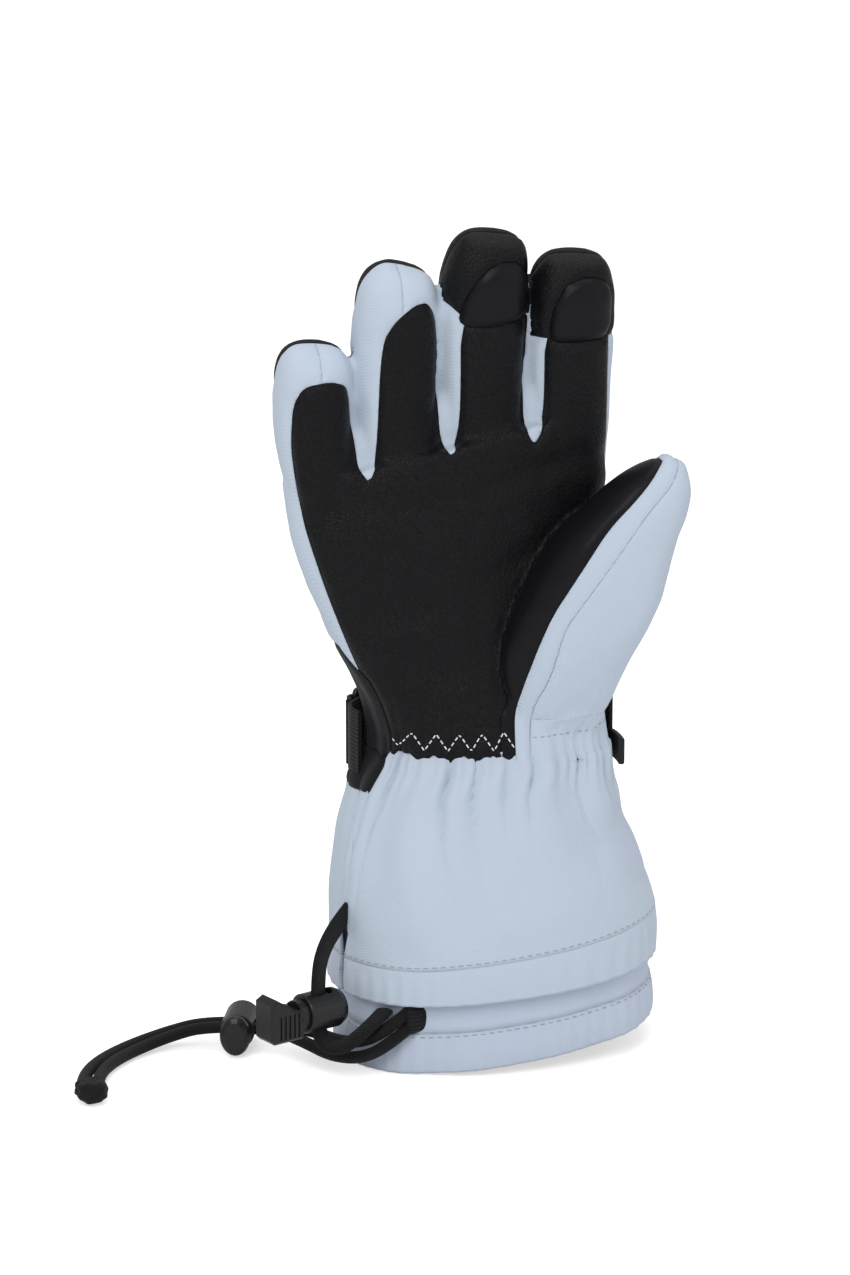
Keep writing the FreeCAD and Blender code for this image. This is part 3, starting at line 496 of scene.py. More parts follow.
def panel(name, skin, mats, slot, nodes, valley, width, relief):
    """A sewn panel: it dips to its seams and has the fabric's soft relief."""
    away = edge_distance(skin, 4.0 * width)
    lift = -valley * np.exp(-(away / width) ** 2)
    lift = lift + relief(skin.p) * np.clip(away / (2.0 * width), 0.0, 1.0)
    obj = new_object(name, skin.p + skin.n * lift[:, None], skin.t, mats[slot])
    return add_piece(thicken(obj, SHELL_T), "glove", slot, *nodes)


# ---- materials
def new_material(name, colour, roughness, sheen=0.0, specular=0.4):
    material = bpy.data.materials.new(name)
    material.use_nodes = True
    shader = material.node_tree.nodes["Principled BSDF"]
    shader.inputs["Base Color"].default_value = (*colour, 1.0)
    shader.inputs["Roughness"].default_value = roughness
    shader.inputs["Specular IOR Level"].default_value = specular
    if sheen:
        shader.inputs["Sheen Weight"].default_value = sheen
        shader.inputs["Sheen Roughness"].default_value = 0.5
    return material, shader


def node(material, kind, **values):
    made = material.node_tree.nodes.new(kind)
    for key, value in values.items():
        setattr(made, key, value)
    return made


def coordinates(material):
    return node(material, "ShaderNodeTexCoord").outputs["Object"]


def bump_chain(material, shader, heights):
    """Bumps one on top of the other: (height output, strength, depth in mm)."""
    links = material.node_tree.links
    before = None
    for height, strength, depth in heights:
        bump = node(material, "ShaderNodeBump")
        bump.inputs["Strength"].default_value = strength
        bump.inputs["Distance"].default_value = depth * MM
        links.new(height, bump.inputs["Height"])
        if before is not None:
            links.new(before, bump.inputs["Normal"])
        before = bump.outputs["Normal"]
    links.new(before, shader.inputs["Normal"])


def wave_height(material, pitch, direction, distortion=0.0):
    wave = node(material, "ShaderNodeTexWave", wave_type="BANDS", bands_direction=direction)
    per_unit = 20.0 if direction in ("X", "Y", "Z") else 10.0
    wave.inputs["Scale"].default_value = 2.0 * math.pi / (per_unit * pitch * MM)
    wave.inputs["Distortion"].default_value = distortion
    material.node_tree.links.new(coordinates(material), wave.inputs["Vector"])
    return wave.outputs["Fac"]


def noise_height(material, size, detail=3.0):
    noise = node(material, "ShaderNodeTexNoise")
    noise.inputs["Scale"].default_value = 1.0 / (size * MM)
    noise.inputs["Detail"].default_value = detail
    material.node_tree.links.new(coordinates(material), noise.inputs["Vector"])
    return noise.outputs["Fac"]


def grain_height(material, size):
    cells = node(material, "ShaderNodeTexVoronoi", feature="DISTANCE_TO_EDGE")
    cells.inputs["Scale"].default_value = 1.0 / (size * MM)
    material.node_tree.links.new(coordinates(material), cells.inputs["Vector"])
    ramp = node(material, "ShaderNodeMapRange")
    ramp.inputs["From Max"].default_value = 0.22
    material.node_tree.links.new(cells.outputs["Distance"], ramp.inputs["Value"])
    return ramp.outputs["Result"]


def tint(material, shader, height, dark, light):
    """Varies the base colour a little with a height field."""
    mix = node(material, "ShaderNodeMix", data_type="RGBA")
    mix.inputs["A"].default_value = (*dark, 1.0)
    mix.inputs["B"].default_value = (*light, 1.0)
    material.node_tree.links.new(height, mix.inputs["Factor"])
    material.node_tree.links.new(mix.outputs["Result"], shader.inputs["Base Color"])


HEIGHTS = {"noise": noise_height, "wave": wave_height, "grain": grain_height}
DARK = (0.01, 0.0102, 0.0115)
# name, colour, roughness, sheen, specular, shades (layer, dark, light), and the
# bump layers: kind, its values in mm, strength, depth in mm
MATERIALS = [
    ("white_softshell", (0.543, 0.620, 0.725), 0.82, 0.12, 0.2,
     (1, (0.493, 0.569, 0.672), (0.543, 0.620, 0.725)),
     [("noise", (14.0,), 0.35, 1.2), ("wave", (1.05, "DIAGONAL", 0.6), 0.22, 0.1)]),
    ("white_nylon", (0.502, 0.570, 0.689), 0.7, 0.15, 0.25, None,
     [("noise", (18.0,), 0.4, 1.4), ("wave", (0.7, "Z", 0.5), 0.2, 0.08)]),
    ("grain_leather", (0.0056, 0.0058, 0.0070), 0.42, 0.0, 0.15,
     (1, (0.003, 0.0031, 0.0038), (0.0066, 0.0069, 0.0084)),
     [("noise", (22.0,), 0.3, 1.4), ("grain", (1.5,), 0.55, 0.22)]),
    ("smooth_pu", (0.0064, 0.0064, 0.0088), 0.40, 0.0, 0.15, None,
     [("noise", (20.0,), 0.35, 1.4), ("noise", (0.6,), 0.12, 0.08)]),
    ("black_softshell", (0.009, 0.0094, 0.0115), 0.8, 0.06, 0.2, None,
     [("noise", (16.0,), 0.4, 1.3), ("wave", (0.95, "DIAGONAL", 0.5), 0.4, 0.12)]),
    ("black_webbing", (0.007, 0.0073, 0.0085), 0.75, 0.05, 0.2,
     (0, (0.004, 0.0042, 0.005), (0.011, 0.0115, 0.0135)),
     [("wave", (1.5, "Z", 0.15), 0.8, 0.35), ("wave", (0.9, "DIAGONAL", 0.4), 0.4, 0.12)]),
    ("black_braid", (0.006, 0.0062, 0.0072), 0.72, 0.05, 0.2, None,
     [("wave", (1.5, "DIAGONAL", 1.2), 0.8, 0.4), ("noise", (0.8,), 0.5, 0.15)]),
    ("black_elastic", (0.0055, 0.0057, 0.0065), 0.66, 0.05, 0.2, None,
     [("wave", (1.1, "DIAGONAL", 0.8), 0.8, 0.3), ("noise", (0.7,), 0.4, 0.12)]),
    ("cream_fleece", (0.62, 0.55, 0.42), 0.95, 0.6, 0.15, None,
     [("noise", (2.2, 6.0), 0.9, 0.9)]),
    ("lock_plastic", (0.006, 0.0062, 0.007), 0.34, 0.0, 0.4, None,
     [("noise", (0.5,), 0.10, 0.06)]),
    ("tab_rubber", DARK, 0.55, 0.0, 0.3, None, [("noise", (0.8,), 0.2, 0.08)]),
    ("hook_tape", DARK, 0.85, 0.0, 0.2, None, [("noise", (0.5, 5.0), 0.9, 0.4)]),
    ("ring_wire", DARK, 0.34, 0.0, 0.4, None, [("noise", (0.9,), 0.08, 0.05)]),
    ("white_thread", (0.80, 0.82, 0.86), 0.7, 0.2, 0.4, None,
     [("noise", (0.4,), 0.4, 0.1)]),
    ("grey_thread", (0.36, 0.38, 0.42), 0.75, 0.0, 0.4, None,
     [("noise", (0.4,), 0.4, 0.1)]),
]


def make_materials():
    mats = {}
    for name, colour, rough, sheen, specular, shades, layers in MATERIALS:
        m, s = new_material(name, colour, rough, sheen, specular)
        heights = [(HEIGHTS[kind](m, *values), strength, depth)
                   for kind, values, strength, depth in layers]
        if shades:
            layer, dark, light = shades
            tint(m, s, heights[layer][0], dark, light)
        bump_chain(m, s, heights)
        mats[name] = m
    mats["white_lining_cuff"] = mats["white_nylon"]
    m, s = new_material("spring_wire", (0.55, 0.55, 0.57), 0.3)
    s.inputs["Metallic"].default_value = 1.0
    mats["spring_wire"] = m
    return mats


# ---- hand
def hand_rings(inset=0.0, step=2.5, count=96):
    rows = np.array(HAND_ROWS)
    heights = np.append(np.arange(rows[0, 0], rows[-1, 0] - 0.5, step), rows[-1, 0])
    values = smooth_rows(rows[:, 0], rows[:, 1:], heights)
    rings = []
    for z, (cx, a, b, bulge, tilt) in zip(heights, values):
        flat = section(a - inset, b - inset, BODY_POWER, count, bulge)
        x = cx + flat[:, 0] * math.cos(tilt)
        rings.append(np.stack([x, flat[:, 1], z + flat[:, 0] * math.sin(tilt)], axis=1))
    top = rings[-1].copy()
    middle = top.mean(axis=0)
    for shrink, rise in ((0.97, 0.9), (0.90, 1.5)):
        rings.append((top - middle) * shrink + middle + np.array([0.0, 0.0, rise]))
    return np.array(rings)


def digit_rings(name, inset=0.0, step=2.0, count=64):
    rows = np.array(DIGITS[name])
    along = run_length(rows[:, :3])
    last = along[-1] - inset
    at = np.append(np.arange(0.0, last - 0.6, step), last)
    values = smooth_rows(along, rows, at)
    centres = values[:, :3]
    ahead = np.gradient(centres, axis=0)
    ahead /= np.linalg.norm(ahead, axis=1)[:, None]
    rings = []
    for centre, d, (a, b) in zip(centres, ahead, values[:, 3:]):
        v = np.array([0.0, 1.0, 0.0]) - d * d[1]
        v /= np.linalg.norm(v)
        u = np.cross(v, d)
        flat = section(max(a - inset, 1.0), max(b - inset, 1.0), DIGIT_POWER, count)
        rings.append(centre + flat[:, :1] * u + flat[:, 1:] * v)
    end, d = rings[-1].copy(), ahead[-1]
    for turn in (25.0, 50.0, 72.0):
        shrink, rise = math.cos(math.radians(turn)), math.sin(math.radians(turn))
        rings.append((end - centres[-1]) * shrink + centres[-1] + d * 1.4 * rise)
    return np.array(rings)


def finger_centre_y(finger, z):
    rows = np.array(DIGITS[finger])
    return np.interp(z, rows[:, 2], rows[:, 1])


def which_finger(x):
    return np.digitize(x, FINGER_EDGES)


def finger_web(x, top):
    """Cloth that closes the gap low between two fingers."""
    rings = []
    for z, wide, deep in ((222.0, 4.6, 9.0), (top - 8.0, 4.2, 8.4), (top - 2.0, 3.4, 6.6),
                          (top, 1.6, 3.2)):
        flat = section(wide, deep, 2.0, 24)
        rings.append(np.stack([x + flat[:, 0], flat[:, 1] - 2.0, np.full(24, z)], axis=1))
    return np.array(rings)


def distance_to(part, points):
    mesh_points, tris = part
    tree = BVHTree.FromPolygons([Vector(p) for p in mesh_points], tris.tolist())
    return np.array([tree.find_nearest(Vector(p))[3] for p in points])


def blended_hand(voxel=1.25):
    """Hand block, fingers and thumb as one smooth skin; positive values: the thumb's."""
    parts = [grid_mesh(hand_rings(), True, True)]
    parts += [grid_mesh(digit_rings(name), True, True) for name in DIGITS]
    thumb, block = parts[-1], parts[0]
    parts += [grid_mesh(finger_web(x, top), True, True) for x, top in WEBS]
    points, tris, k = [], [], 0
    for p, t in parts:
        points.append(p)
        tris.append(t + k)
        k += len(p)
    mesh = bpy.data.meshes.new("blend")
    mesh.from_pydata((np.concatenate(points) * MM).tolist(), [], np.concatenate(tris).tolist())
    obj = link("blend", mesh)
    remesh = obj.modifiers.new("remesh", "REMESH")
    remesh.mode = "VOXEL"
    remesh.voxel_size = voxel * MM
    soften = obj.modifiers.new("soften", "SMOOTH")
    soften.factor = 0.5
    soften.iterations = 8
    done = obj.evaluated_get(bpy.context.evaluated_depsgraph_get()).to_mesh()
    done.calc_loop_triangles()
    p = np.zeros(len(done.vertices) * 3)
    done.vertices.foreach_get("co", p)
    t = np.zeros(len(done.loop_triangles) * 3, int)
    done.loop_triangles.foreach_get("vertices", t)
    bpy.data.objects.remove(obj)
    skin = Skin(p.reshape(-1, 3) / MM, t.reshape(-1, 3))
    skin, _ = cut(skin, skin.p[:, 2] - WRIST_Z - 0.6)
    low = skin.p[:, 2] < 229.0
    value = np.full(len(skin.p), -5.0)
    near = skin.p[low]
    value[low] = distance_to(block, near) - distance_to(thumb, near)
    x, y, z = skin.p.T
    straight = x - THUMB_CREASE_X - 60.0 * smooth_step(z, 132.0, 156.0)
    value = np.maximum(value, np.where(y < -6.0, straight, -5.0))
    return skin, spread(skin.t, np.where(x < -30.0, -5.0, value))


def spread(tris, value, times=6):
    """Evens out numbers held at a mesh's points."""
    for _ in range(times):
        total, count = np.zeros(len(value)), np.zeros(len(value))
        around = value[tris].sum(axis=1)
        for k in range(3):
            np.add.at(total, tris[:, k], around)
            np.add.at(count, tris[:, k], 3.0)
        value = total / np.maximum(count, 1.0)
    return value


def saddle_shift(x):
    """The black wrist panel starts further back on the thumb side."""
    return 15.0 * smooth_step(x, 5.0, 30.0)


def back_seam_depth(p):
    """Positive behind the seam that joins the back to the side walls."""
    x, y, z = p.T
    seam = (table_value(BACK_SEAM, z, 1)
            + saddle_shift(x) * (1.0 - smooth_step(z, 146.0, 172.0)))
    which = which_finger(x)
    for i, finger in enumerate(FINGERS):
        rows = np.array(DIGITS[finger])
        behind = smooth_step(z, rows[2, 2] - 9.0, rows[2, 2] + 1.0)
        line = finger_centre_y(finger, z) + 8.0 - 4.6 * behind
        fade = smooth_step(z, 200.0, 214.0)
        seam = np.where(which == i, seam * (1 - fade) + line * fade, seam)
    return y - seam


def smooth_step(z, low, high):
    t = np.clip((z - low) / (high - low), 0.0, 1.0)
    return t * t * (3.0 - 2.0 * t)


def front_limit(p):
    """Positive in front of the line where the leather may start."""
    x, y, z = p.T
    limit = np.full(len(p), LEATHER_BACK_Y)
    which = which_finger(x)
    for i, finger in enumerate(FINGERS):
        fade = smooth_step(z, 206.0, 220.0)
        line = finger_centre_y(finger, z) * fade + LEATHER_BACK_Y
        limit = np.where(which == i, line, limit)
    return limit - y


def elastic_folds(around):
    """Round puffs with narrow creases between them, where the elastic draws in."""
    phase = around * 10.0 + 1.6 * np.sin(around * 4.0 + 0.4) + 0.5 * np.sin(around * 9.0)
    return 2.0 * np.abs(np.sin(phase)) ** 0.5 - 1.0


def fine_folds(around):
    return np.sin(around * 43.0 + 2.0 * np.sin(around * 7.0))


def pucker(p):
    """Upright folds above the wrist seam, stronger on the soft cloth."""
    u, v = (p[:, 0] + 1.0) / 42.2, p[:, 1] / 28.5
    power = BODY_POWER / 2.0
    around = np.arctan2(np.sign(v) * np.abs(v) ** power, np.sign(u) * np.abs(u) ** power)
    up = np.maximum(p[:, 2] - WRIST_Z, 0.0)
    cloth = smooth_step(p[:, 0], 0.0, 12.0)
    fine = fine_folds(around)
    return ((1.1 + 0.5 * cloth) * elastic_folds(around) * np.exp(-up / 12.0)
            + (0.25 + 0.35 * cloth) * fine * np.exp(-up / 10.0))


def hand_relief(seed, soft=0.5, fine=0.16):
    def relief(p):
        return soft * waves(p, seed, 34.0) + fine * waves(p, seed + 1, 11.0)
    return relief


def leather_relief(p):
    """Low folds of the palm, deeper where the fingers bend."""
    base = 0.45 * waves(p, 5, 30.0) + 0.14 * waves(p, 6, 10.0)
    x, z = p[:, 0], p[:, 2]
    bend = np.zeros(len(p))
    for height, slope, deep, reach in ((214.0, 0.16, 0.7, 5.0), (178.0, 0.35, 0.6, 7.0),
                                       (150.0, 0.12, 0.5, 6.0)):
        line = height + slope * (x + 20.0) + 3.0 * np.sin(x / 13.0)
        bend -= deep * np.exp(-((z - line) / reach) ** 2)
    return base + bend


def build_hand(mats):
    skin, thumb_value = blended_hand()
    skin = Skin(skin.p + skin.n * pucker(skin.p)[:, None], skin.t)
    thumb, hand = cut(skin, thumb_value)
    back, rest = cut(hand, back_seam_depth(hand.p))
    behind = thumb.p[:, 1] + 8.0 - saddle_shift(thumb.p[:, 0])
    saddle, thumb = cut(thumb, np.minimum(behind, 134.0 - thumb.p[:, 2]))
    build_back(mats, back, saddle)
    for i, finger in enumerate(FINGERS):
        if finger in CAP_LOW_Z:
            rest = build_cap(mats, rest, i, finger)
    outline = round_corners(LEATHER_OUTLINE)
    depth = np.minimum(outline_depth(outline, rest.p[:, 0], rest.p[:, 2]), front_limit(rest.p))
    palm, sides = cut(rest, depth)
    palm, _ = cut(palm, leather_edge(palm.p))
    panel("palm_leather", palm, mats, "grain_leather",
          ["palm_panel"], 0.9, 1.8, leather_relief)
    low = np.minimum(sides.p[:, 0] + 20.0, THUMB_BASE_Z - sides.p[:, 2])
    base, sides = cut(sides, low)
    build_sides(mats, sides)
    build_thumb(mats, thumb, base)


def leather_edge(p):
    """Positive above the scalloped lower edge of the palm leather."""
    return p[:, 2] - (116.6 + 1.2 * np.sin(p[:, 0] * 0.62) + 0.4 * np.sin(p[:, 0] * 1.7))


def build_back(mats, back, saddle_side):
    saddle, back = cut(back, SADDLE_TOP_Z - back.p[:, 2])
    for i, finger in enumerate(FINGERS):
        value = np.where(which_finger(back.p[:, 0]) == i,
                         back.p[:, 2] - BACK_TIP_Z[finger], -5.0)
        tip, back = cut(back, value)
        panel("back_tip_" + finger + "_fabric", tip, mats, "black_softshell",
              ["back_tip_" + finger], 0.6, 1.5, hand_relief(21 + i, 0.2, 0.1))
    panel("back_fabric", back, mats, "white_softshell",
          ["back_panel"], 0.8, 1.8, hand_relief(11))
    build_saddle(mats, merge([saddle, saddle_side]))


def build_saddle(mats, upper):
    """Black panel over the back of the wrist, down onto the cuff."""
    lower = cuff_skin(SADDLE_LOW_Z - 0.5, WRIST_Z + 1.6, 1.4, gathers=0.45)
    lower, _ = cut(lower, lower.p[:, 1] + 9.0 - saddle_shift(lower.p[:, 0]))
    panel("wrist_saddle_fabric", merge([upper, lower]), mats, "black_softshell",
          ["wrist_saddle"], 0.5, 1.4, hand_relief(31, 0.4, 0.15))


def build_cap(mats, rest, i, finger):
    """Leather cap with a smooth pad let into its front; what is left goes on."""
    x, y = DIGITS[finger][1][:2]
    arch = round_corners(PAD_ARCH[finger])
    mine = which_finger(rest.p[:, 0]) == i
    inside = np.minimum(outline_depth(arch, rest.p[:, 0], rest.p[:, 2]), y - 3.0 - rest.p[:, 1])
    pad, rest = cut(rest, np.where(mine, inside, -5.0))
    panel(finger + "_tip_pad_skin", pad, mats, "smooth_pu",
          [finger + "_tip_pad"], 0.9, 1.6, lambda p: 0.5 + 0.2 * waves(p, 41 + i, 18.0))
    mine = which_finger(rest.p[:, 0]) == i
    slant = 0.9 if finger == "middle" else 0.0
    low = CAP_LOW_Z[finger] + slant * np.maximum(0.0, x - 9.0 - rest.p[:, 0])
    cap, rest = cut(rest, np.where(mine, rest.p[:, 2] - low, -5.0))
    panel(finger + "_tip_cap_leather", cap, mats, "grain_leather",
          [finger + "_tip_cap"], 0.8, 1.5, hand_relief(51 + i, 0.25, 0.1))
    return rest


def build_sides(mats, sides):
    names = ["little_side_wall", "fourchette_little_ring", "fourchette_ring_middle",
             "fourchette_middle_index", "index_side_wall"]
    for i, name in enumerate(names):
        piece = sides
        if i < len(WALL_CENTRES):
            edge = WALL_CENTRES[i] - sides.p[:, 0]
            if i == 0:
                edge = np.where(sides.p[:, 2] > 206.0, edge, -20.0 - sides.p[:, 0])
            piece, sides = cut(sides, edge)
        panel(name + "_fabric", piece, mats, "white_softshell",
              [name], 0.7, 1.6, hand_relief(71 + i, 0.4, 0.12))


# ---- thumb
def build_thumb(mats, skin, wrist_side):
    """Smooth patch in front, a narrow gusset beside it, and the white back."""
    rows = np.array(DIGITS["thumb"])
    seams = []
    for line in (THUMB_SEAM_A, THUMB_SEAM_B):
        seams.append(round_corners([(-80.0, 100.0)] + line + [(-80.0, 240.0)]))
    pieces = []
    for seam in seams:
        centre_x, centre_y, half = [np.interp(skin.p[:, 2], rows[:, 2], rows[:, k])
                                    for k in (0, 1, 3)]
        tip = 6.0 * smooth_step(skin.p[:, 2], 204.0, 220.0)
        limit = np.maximum(centre_y + 1.5 + tip - skin.p[:, 1],
                           centre_x - 0.35 * half - skin.p[:, 0])
        depth = outline_depth(seam, skin.p[:, 0], skin.p[:, 2])
        piece, skin = cut(skin, np.minimum(depth, limit))
        pieces.append(piece)
    patch, _ = cut(pieces[0], leather_edge(pieces[0].p))
    base, back = cut(skin, 130.0 - skin.p[:, 2])
    panel("thumb_front_leather", patch, mats, "smooth_pu",
          ["thumb_front_patch"], 0.9, 1.7, hand_relief(81, 0.6, 0.12))
    panel("thumb_gusset_fabric", pieces[1], mats, "white_softshell",
          ["thumb_gusset"], 0.5, 1.2, hand_relief(82, 0.3, 0.1))
    panel("thumb_back_fabric", back, mats, "white_softshell",
          ["thumb_back_panel"], 0.3, 1.4, hand_relief(83, 0.7, 0.16))
    panel("thumb_base_fabric", merge([base, wrist_side]), mats, "white_softshell",
          ["thumb_base_panel"], 0.3, 1.2, hand_relief(83, 0.7, 0.16))


# ---- cuff
def gather(around, z, strength):
    """Sharp folds that fan out below the wrist and die away."""
    down = np.maximum(WRIST_Z - z, 0.0)
    fine = fine_folds(around)
    reach = 21.0 + 9.0 * np.sin(around * 6.0 + 1.0) + 6.0 * np.sin(around * 11.0)
    fan = 0.0035 * down * np.sin(around * 5.0 + 1.3)
    fold = elastic_folds(around + fan) * np.exp(-(down / reach) ** 1.3)
    tucked = 1.0 - 0.4 * smooth_step(z, WRIST_Z + 1.5, WRIST_Z + 6.0)
    deep = 2.7 - 1.1 * np.exp(-down / 7.0)       # as deep as the panel above, at the seam
    return strength * tucked * (deep * fold + 0.6 * fine * np.exp(-down / 6.0))


def cuff_lean(x, z):
    """How far the cuff's cloth is higher towards the thumb side."""
    across = np.clip((x - LEAN_FROM_X) / (LEAN_TO_X - LEAN_FROM_X), 0.0, 1.0)
    return table_value(CUFF_LEAN, z, 1) * across ** 1.3


def cuff_skin(low, high, offset, gathers=1.0, count=420, step=1.6):
    rows = np.array(CUFF_ROWS)
    heights = np.linspace(low, high, int((high - low) / step) + 2)
    values = smooth_rows(rows[:, 0], rows[:, 1:], np.minimum(heights, rows[-1, 0]))
    around = np.linspace(0.0, 2.0 * math.pi, count, endpoint=False)
    rings = []
    for z, (cx, a, b, bulge) in zip(heights, values):
        grow = offset(z, around) if callable(offset) else offset
        flat = section(a, b, BODY_POWER, count, bulge)
        out = np.stack([flat[:, 0] / a ** 2, flat[:, 1] / b ** 2], axis=1)
        out /= np.linalg.norm(out, axis=1)[:, None]
        lift = grow + gather(around, z, gathers)
        flat = flat + out * np.broadcast_to(lift, (count,))[:, None]
        height = z + cuff_lean(cx + flat[:, 0], z)
        rings.append(np.stack([cx + flat[:, 0], flat[:, 1], height], axis=1))
    return Skin(*grid_mesh(np.array(rings)))


def slit_opening(p):
    """Positive inside the slit on the little-finger side."""
    z = p[:, 2]
    half = np.interp(z, [0.0, 42.0, 50.0, SLIT_TOP_Z], [1.1, 1.3, 3.4, -1.0])
    lean = SLIT_Y + 1.5 * (1.0 - z / SLIT_TOP_Z)
    return np.where(p[:, 0] < -30.0, half - np.abs(p[:, 1] - lean), -5.0)


def outer_offset(z, around):
    """Slack cloth: it bags a little above the hem and tucks in under the leather."""
    bag = 0.7 * np.sin(around * 5.0 + 0.8) + 0.4 * np.sin(around * 9.0 + 2.0)
    long_fold = 0.8 * np.sin(around * 11.0 + 0.035 * z + 1.5 * np.sin(around * 3.0))
    slack = bag * smooth_step(z, 40.0, 60.0) * (1.0 - smooth_step(z, 80.0, 104.0))
    slack += long_fold * smooth_step(z, 62.0, 84.0) * (1.0 - smooth_step(z, 96.0, 110.0))
    thumb_side = np.maximum(np.cos(around), 0.0) ** 2
    straight = 2.0 + 3.6 * smooth_step(z, 40.0, 62.0) * (1.0 - smooth_step(z, 74.0, 100.0))
    straight = straight * (1.0 - smooth_step(z, 84.0, 104.0))
    return slack - straight * thumb_side - 2.6 * smooth_step(z, 113.4, 118.0)


def hem_offset(z, around):
    """The hem is a channel that its cord fills out."""
    t = (z - HEM_Z) / (HEM_TOP_Z - HEM_Z)
    puff = 0.35 * math.sin(math.pi * min(max(t, 0.0), 1.0))
    ripple = 0.2 * np.sin(around * 46.0 + 3.0 * np.sin(around * 3.0))
    thumb_side = np.maximum(np.cos(around), 0.0) ** 2
    return puff + ripple * smooth_step(1.0 - t, 0.0, 0.4) - 2.0 * thumb_side


def build_cuff(mats):
    wall = cuff_skin(HEM_TOP_Z, 119.0, outer_offset)
    _, wall = cut(wall, slit_opening(wall.p))
    x, y, z = wall.p.T
    rear = (y - np.interp(z, [40.0, 75.0, 92.0, 120.0], [SLIT_Y, SLIT_Y, -8.0, -8.0])
            - saddle_shift(x) * smooth_step(z, 75.0, 92.0))
    back, front = cut(wall, rear)
    _, back = cut(back, back.p[:, 2] - SADDLE_LOW_Z - 1.0)
    panel("outer_cuff_front_fabric", front, mats, "white_softshell",
          ["outer_cuff_front"], 0.0, 1.2, lambda p: 0.35 * waves(p, 91, 26.0))
    panel("outer_cuff_back_fabric", back, mats, "white_softshell",
          ["outer_cuff_back"], 0.0, 1.2, lambda p: 0.35 * waves(p, 92, 26.0))
    hem = cuff_skin(HEM_Z, HEM_TOP_Z, hem_offset, 0.0, step=1.0)
    _, hem = cut(hem, slit_opening(hem.p))
    plain("cuff_hem_fabric", hem, mats, "white_softshell", 2.4, "cuff_hem")


def inner_offset(z, around):
    back = 4.7 - 2.9 * smooth_step(z, 40.0, WRIST_Z)
    back = back - 2.2 * (1.0 - smooth_step(z, 4.0, 24.0))
    wave = 0.5 * np.sin(around * 7.0 + 0.5) + 0.25 * np.sin(around * 13.0)
    return -back + wave * (1.0 - z / 60.0 if z < 60.0 else 0.0)


def inner_hem_offset(z, around):
    t = min(max(z / INNER_HEM_TOP, 0.0), 1.0)
    puff = 0.5 * math.sin(math.pi * t) ** 0.5 if 0.0 < t < 1.0 else 0.0
    ripple = 0.16 * np.sin(around * 52.0 + 2.0 * np.sin(around * 5.0))
    return inner_offset(z, around) + puff + ripple


def build_inner_cuff(mats):
    skirt = cuff_skin(INNER_HEM_TOP, WRIST_Z - 2.0, inner_offset, 0.0, count=200, step=3.0)
    plain("inner_cuff_fabric", skirt, mats, "white_lining_cuff", 1.3, "inner_cuff")
    hem = cuff_skin(0.0, INNER_HEM_TOP, inner_hem_offset, 0.0, count=320, step=1.0)
    plain("inner_cuff_hem_fabric", hem, mats, "white_lining_cuff", 1.5, "inner_cuff_hem")
    lining = cuff_skin(3.0, WRIST_Z - 2.0, lambda z, a: inner_offset(z, a) - 1.9, 0.0,
                       count=160, step=3.0)
    plain("cuff_lining_fleece", lining, mats, "cream_fleece", 1.1, "cuff_lining")


def build_hand_lining(mats):
    """Fleece sock in the hand, seen only through the cuff."""
    parts = [Skin(*grid_mesh(hand_rings(LINING_INSET, 6.0, 48)[:-2], False, False))]
    for name in DIGITS:
        parts.append(Skin(*grid_mesh(digit_rings(name, LINING_INSET, 6.0, 28), False, True)))
    sock = merge(parts)
    sock, _ = cut(sock, sock.p[:, 2] - WRIST_Z)
    plain("hand_lining_fleece", sock, mats, "cream_fleece", 0.8, "hand_lining",
          "insulation_palm", "insulation_back", "wrist_elastic")


# ---- stitches
def surface_tree(names):
    """Finds points on the shown surface of these objects."""
    points, tris, k = [], [], 0
    for name in names:
        mesh = bpy.data.objects[name].data
        p = np.zeros(len(mesh.vertices) * 3)
        mesh.vertices.foreach_get("co", p)
        mesh.calc_loop_triangles()
        t = np.zeros(len(mesh.loop_triangles) * 3, int)
        mesh.loop_triangles.foreach_get("vertices", t)
        points.append(p.reshape(-1, 3) / MM)
        tris.append(t.reshape(-1, 3) + k)
        k += len(mesh.vertices)
    return BVHTree.FromPolygons([Vector(p) for p in np.concatenate(points)],
                                np.concatenate(tris).tolist())


def laid_on(tree, points):
    """Points and outward normals on the surface nearest to each point."""
    placed = []
    for p in points:
        found = tree.find_nearest(Vector(p))
        placed.append((np.array(found[0]), np.array(found[1])))
    return placed


def stitch_mesh(pairs, width, height):
    """One thread hump for each (start, end, normal)."""
    points, tris = [], []
    for start, end, normal in pairs:
        along = end - start
        side = np.cross(along, normal)
        side = side / max(np.linalg.norm(side), 1e-9) * width / 2.0
        k = len(points)
        for f, w, h in ((0.0, 0.5, -0.3), (0.15, 1.0, 0.6), (0.5, 1.0, 1.0),
                        (0.85, 1.0, 0.6), (1.0, 0.5, -0.3)):
            middle = start + along * f
            points += [middle - side * w - normal * height * 0.5,
                       middle - side * w * 0.6 + normal * height * h,
                       middle + side * w * 0.6 + normal * height * h,
                       middle + side * w - normal * height * 0.5]
        for r in range(4):
            a = k + 4 * r
            for c in range(4):
                d = (c + 1) % 4
                tris += [(a + c, a + 4 + c, a + 4 + d), (a + c, a + 4 + d, a + d)]
    return np.array(points), np.array(tris)


def dashes(placed, stitch, gap):
    """Cuts a line of placed points into stitches of that length."""
    p = np.array([a for a, _ in placed])
    n = np.array([b for _, b in placed])
    s = run_length(p)
    pick = lambda at: np.array([np.interp(at, s, p[:, k]) for k in range(3)])
    normal = lambda at: np.array([np.interp(at, s, n[:, k]) for k in range(3)])
    pairs, at = [], 0.0
    while at + stitch < s[-1]:
        pairs.append((pick(at), pick(at + stitch), normal(at + stitch / 2.0)))
        at += stitch + gap
    return pairs


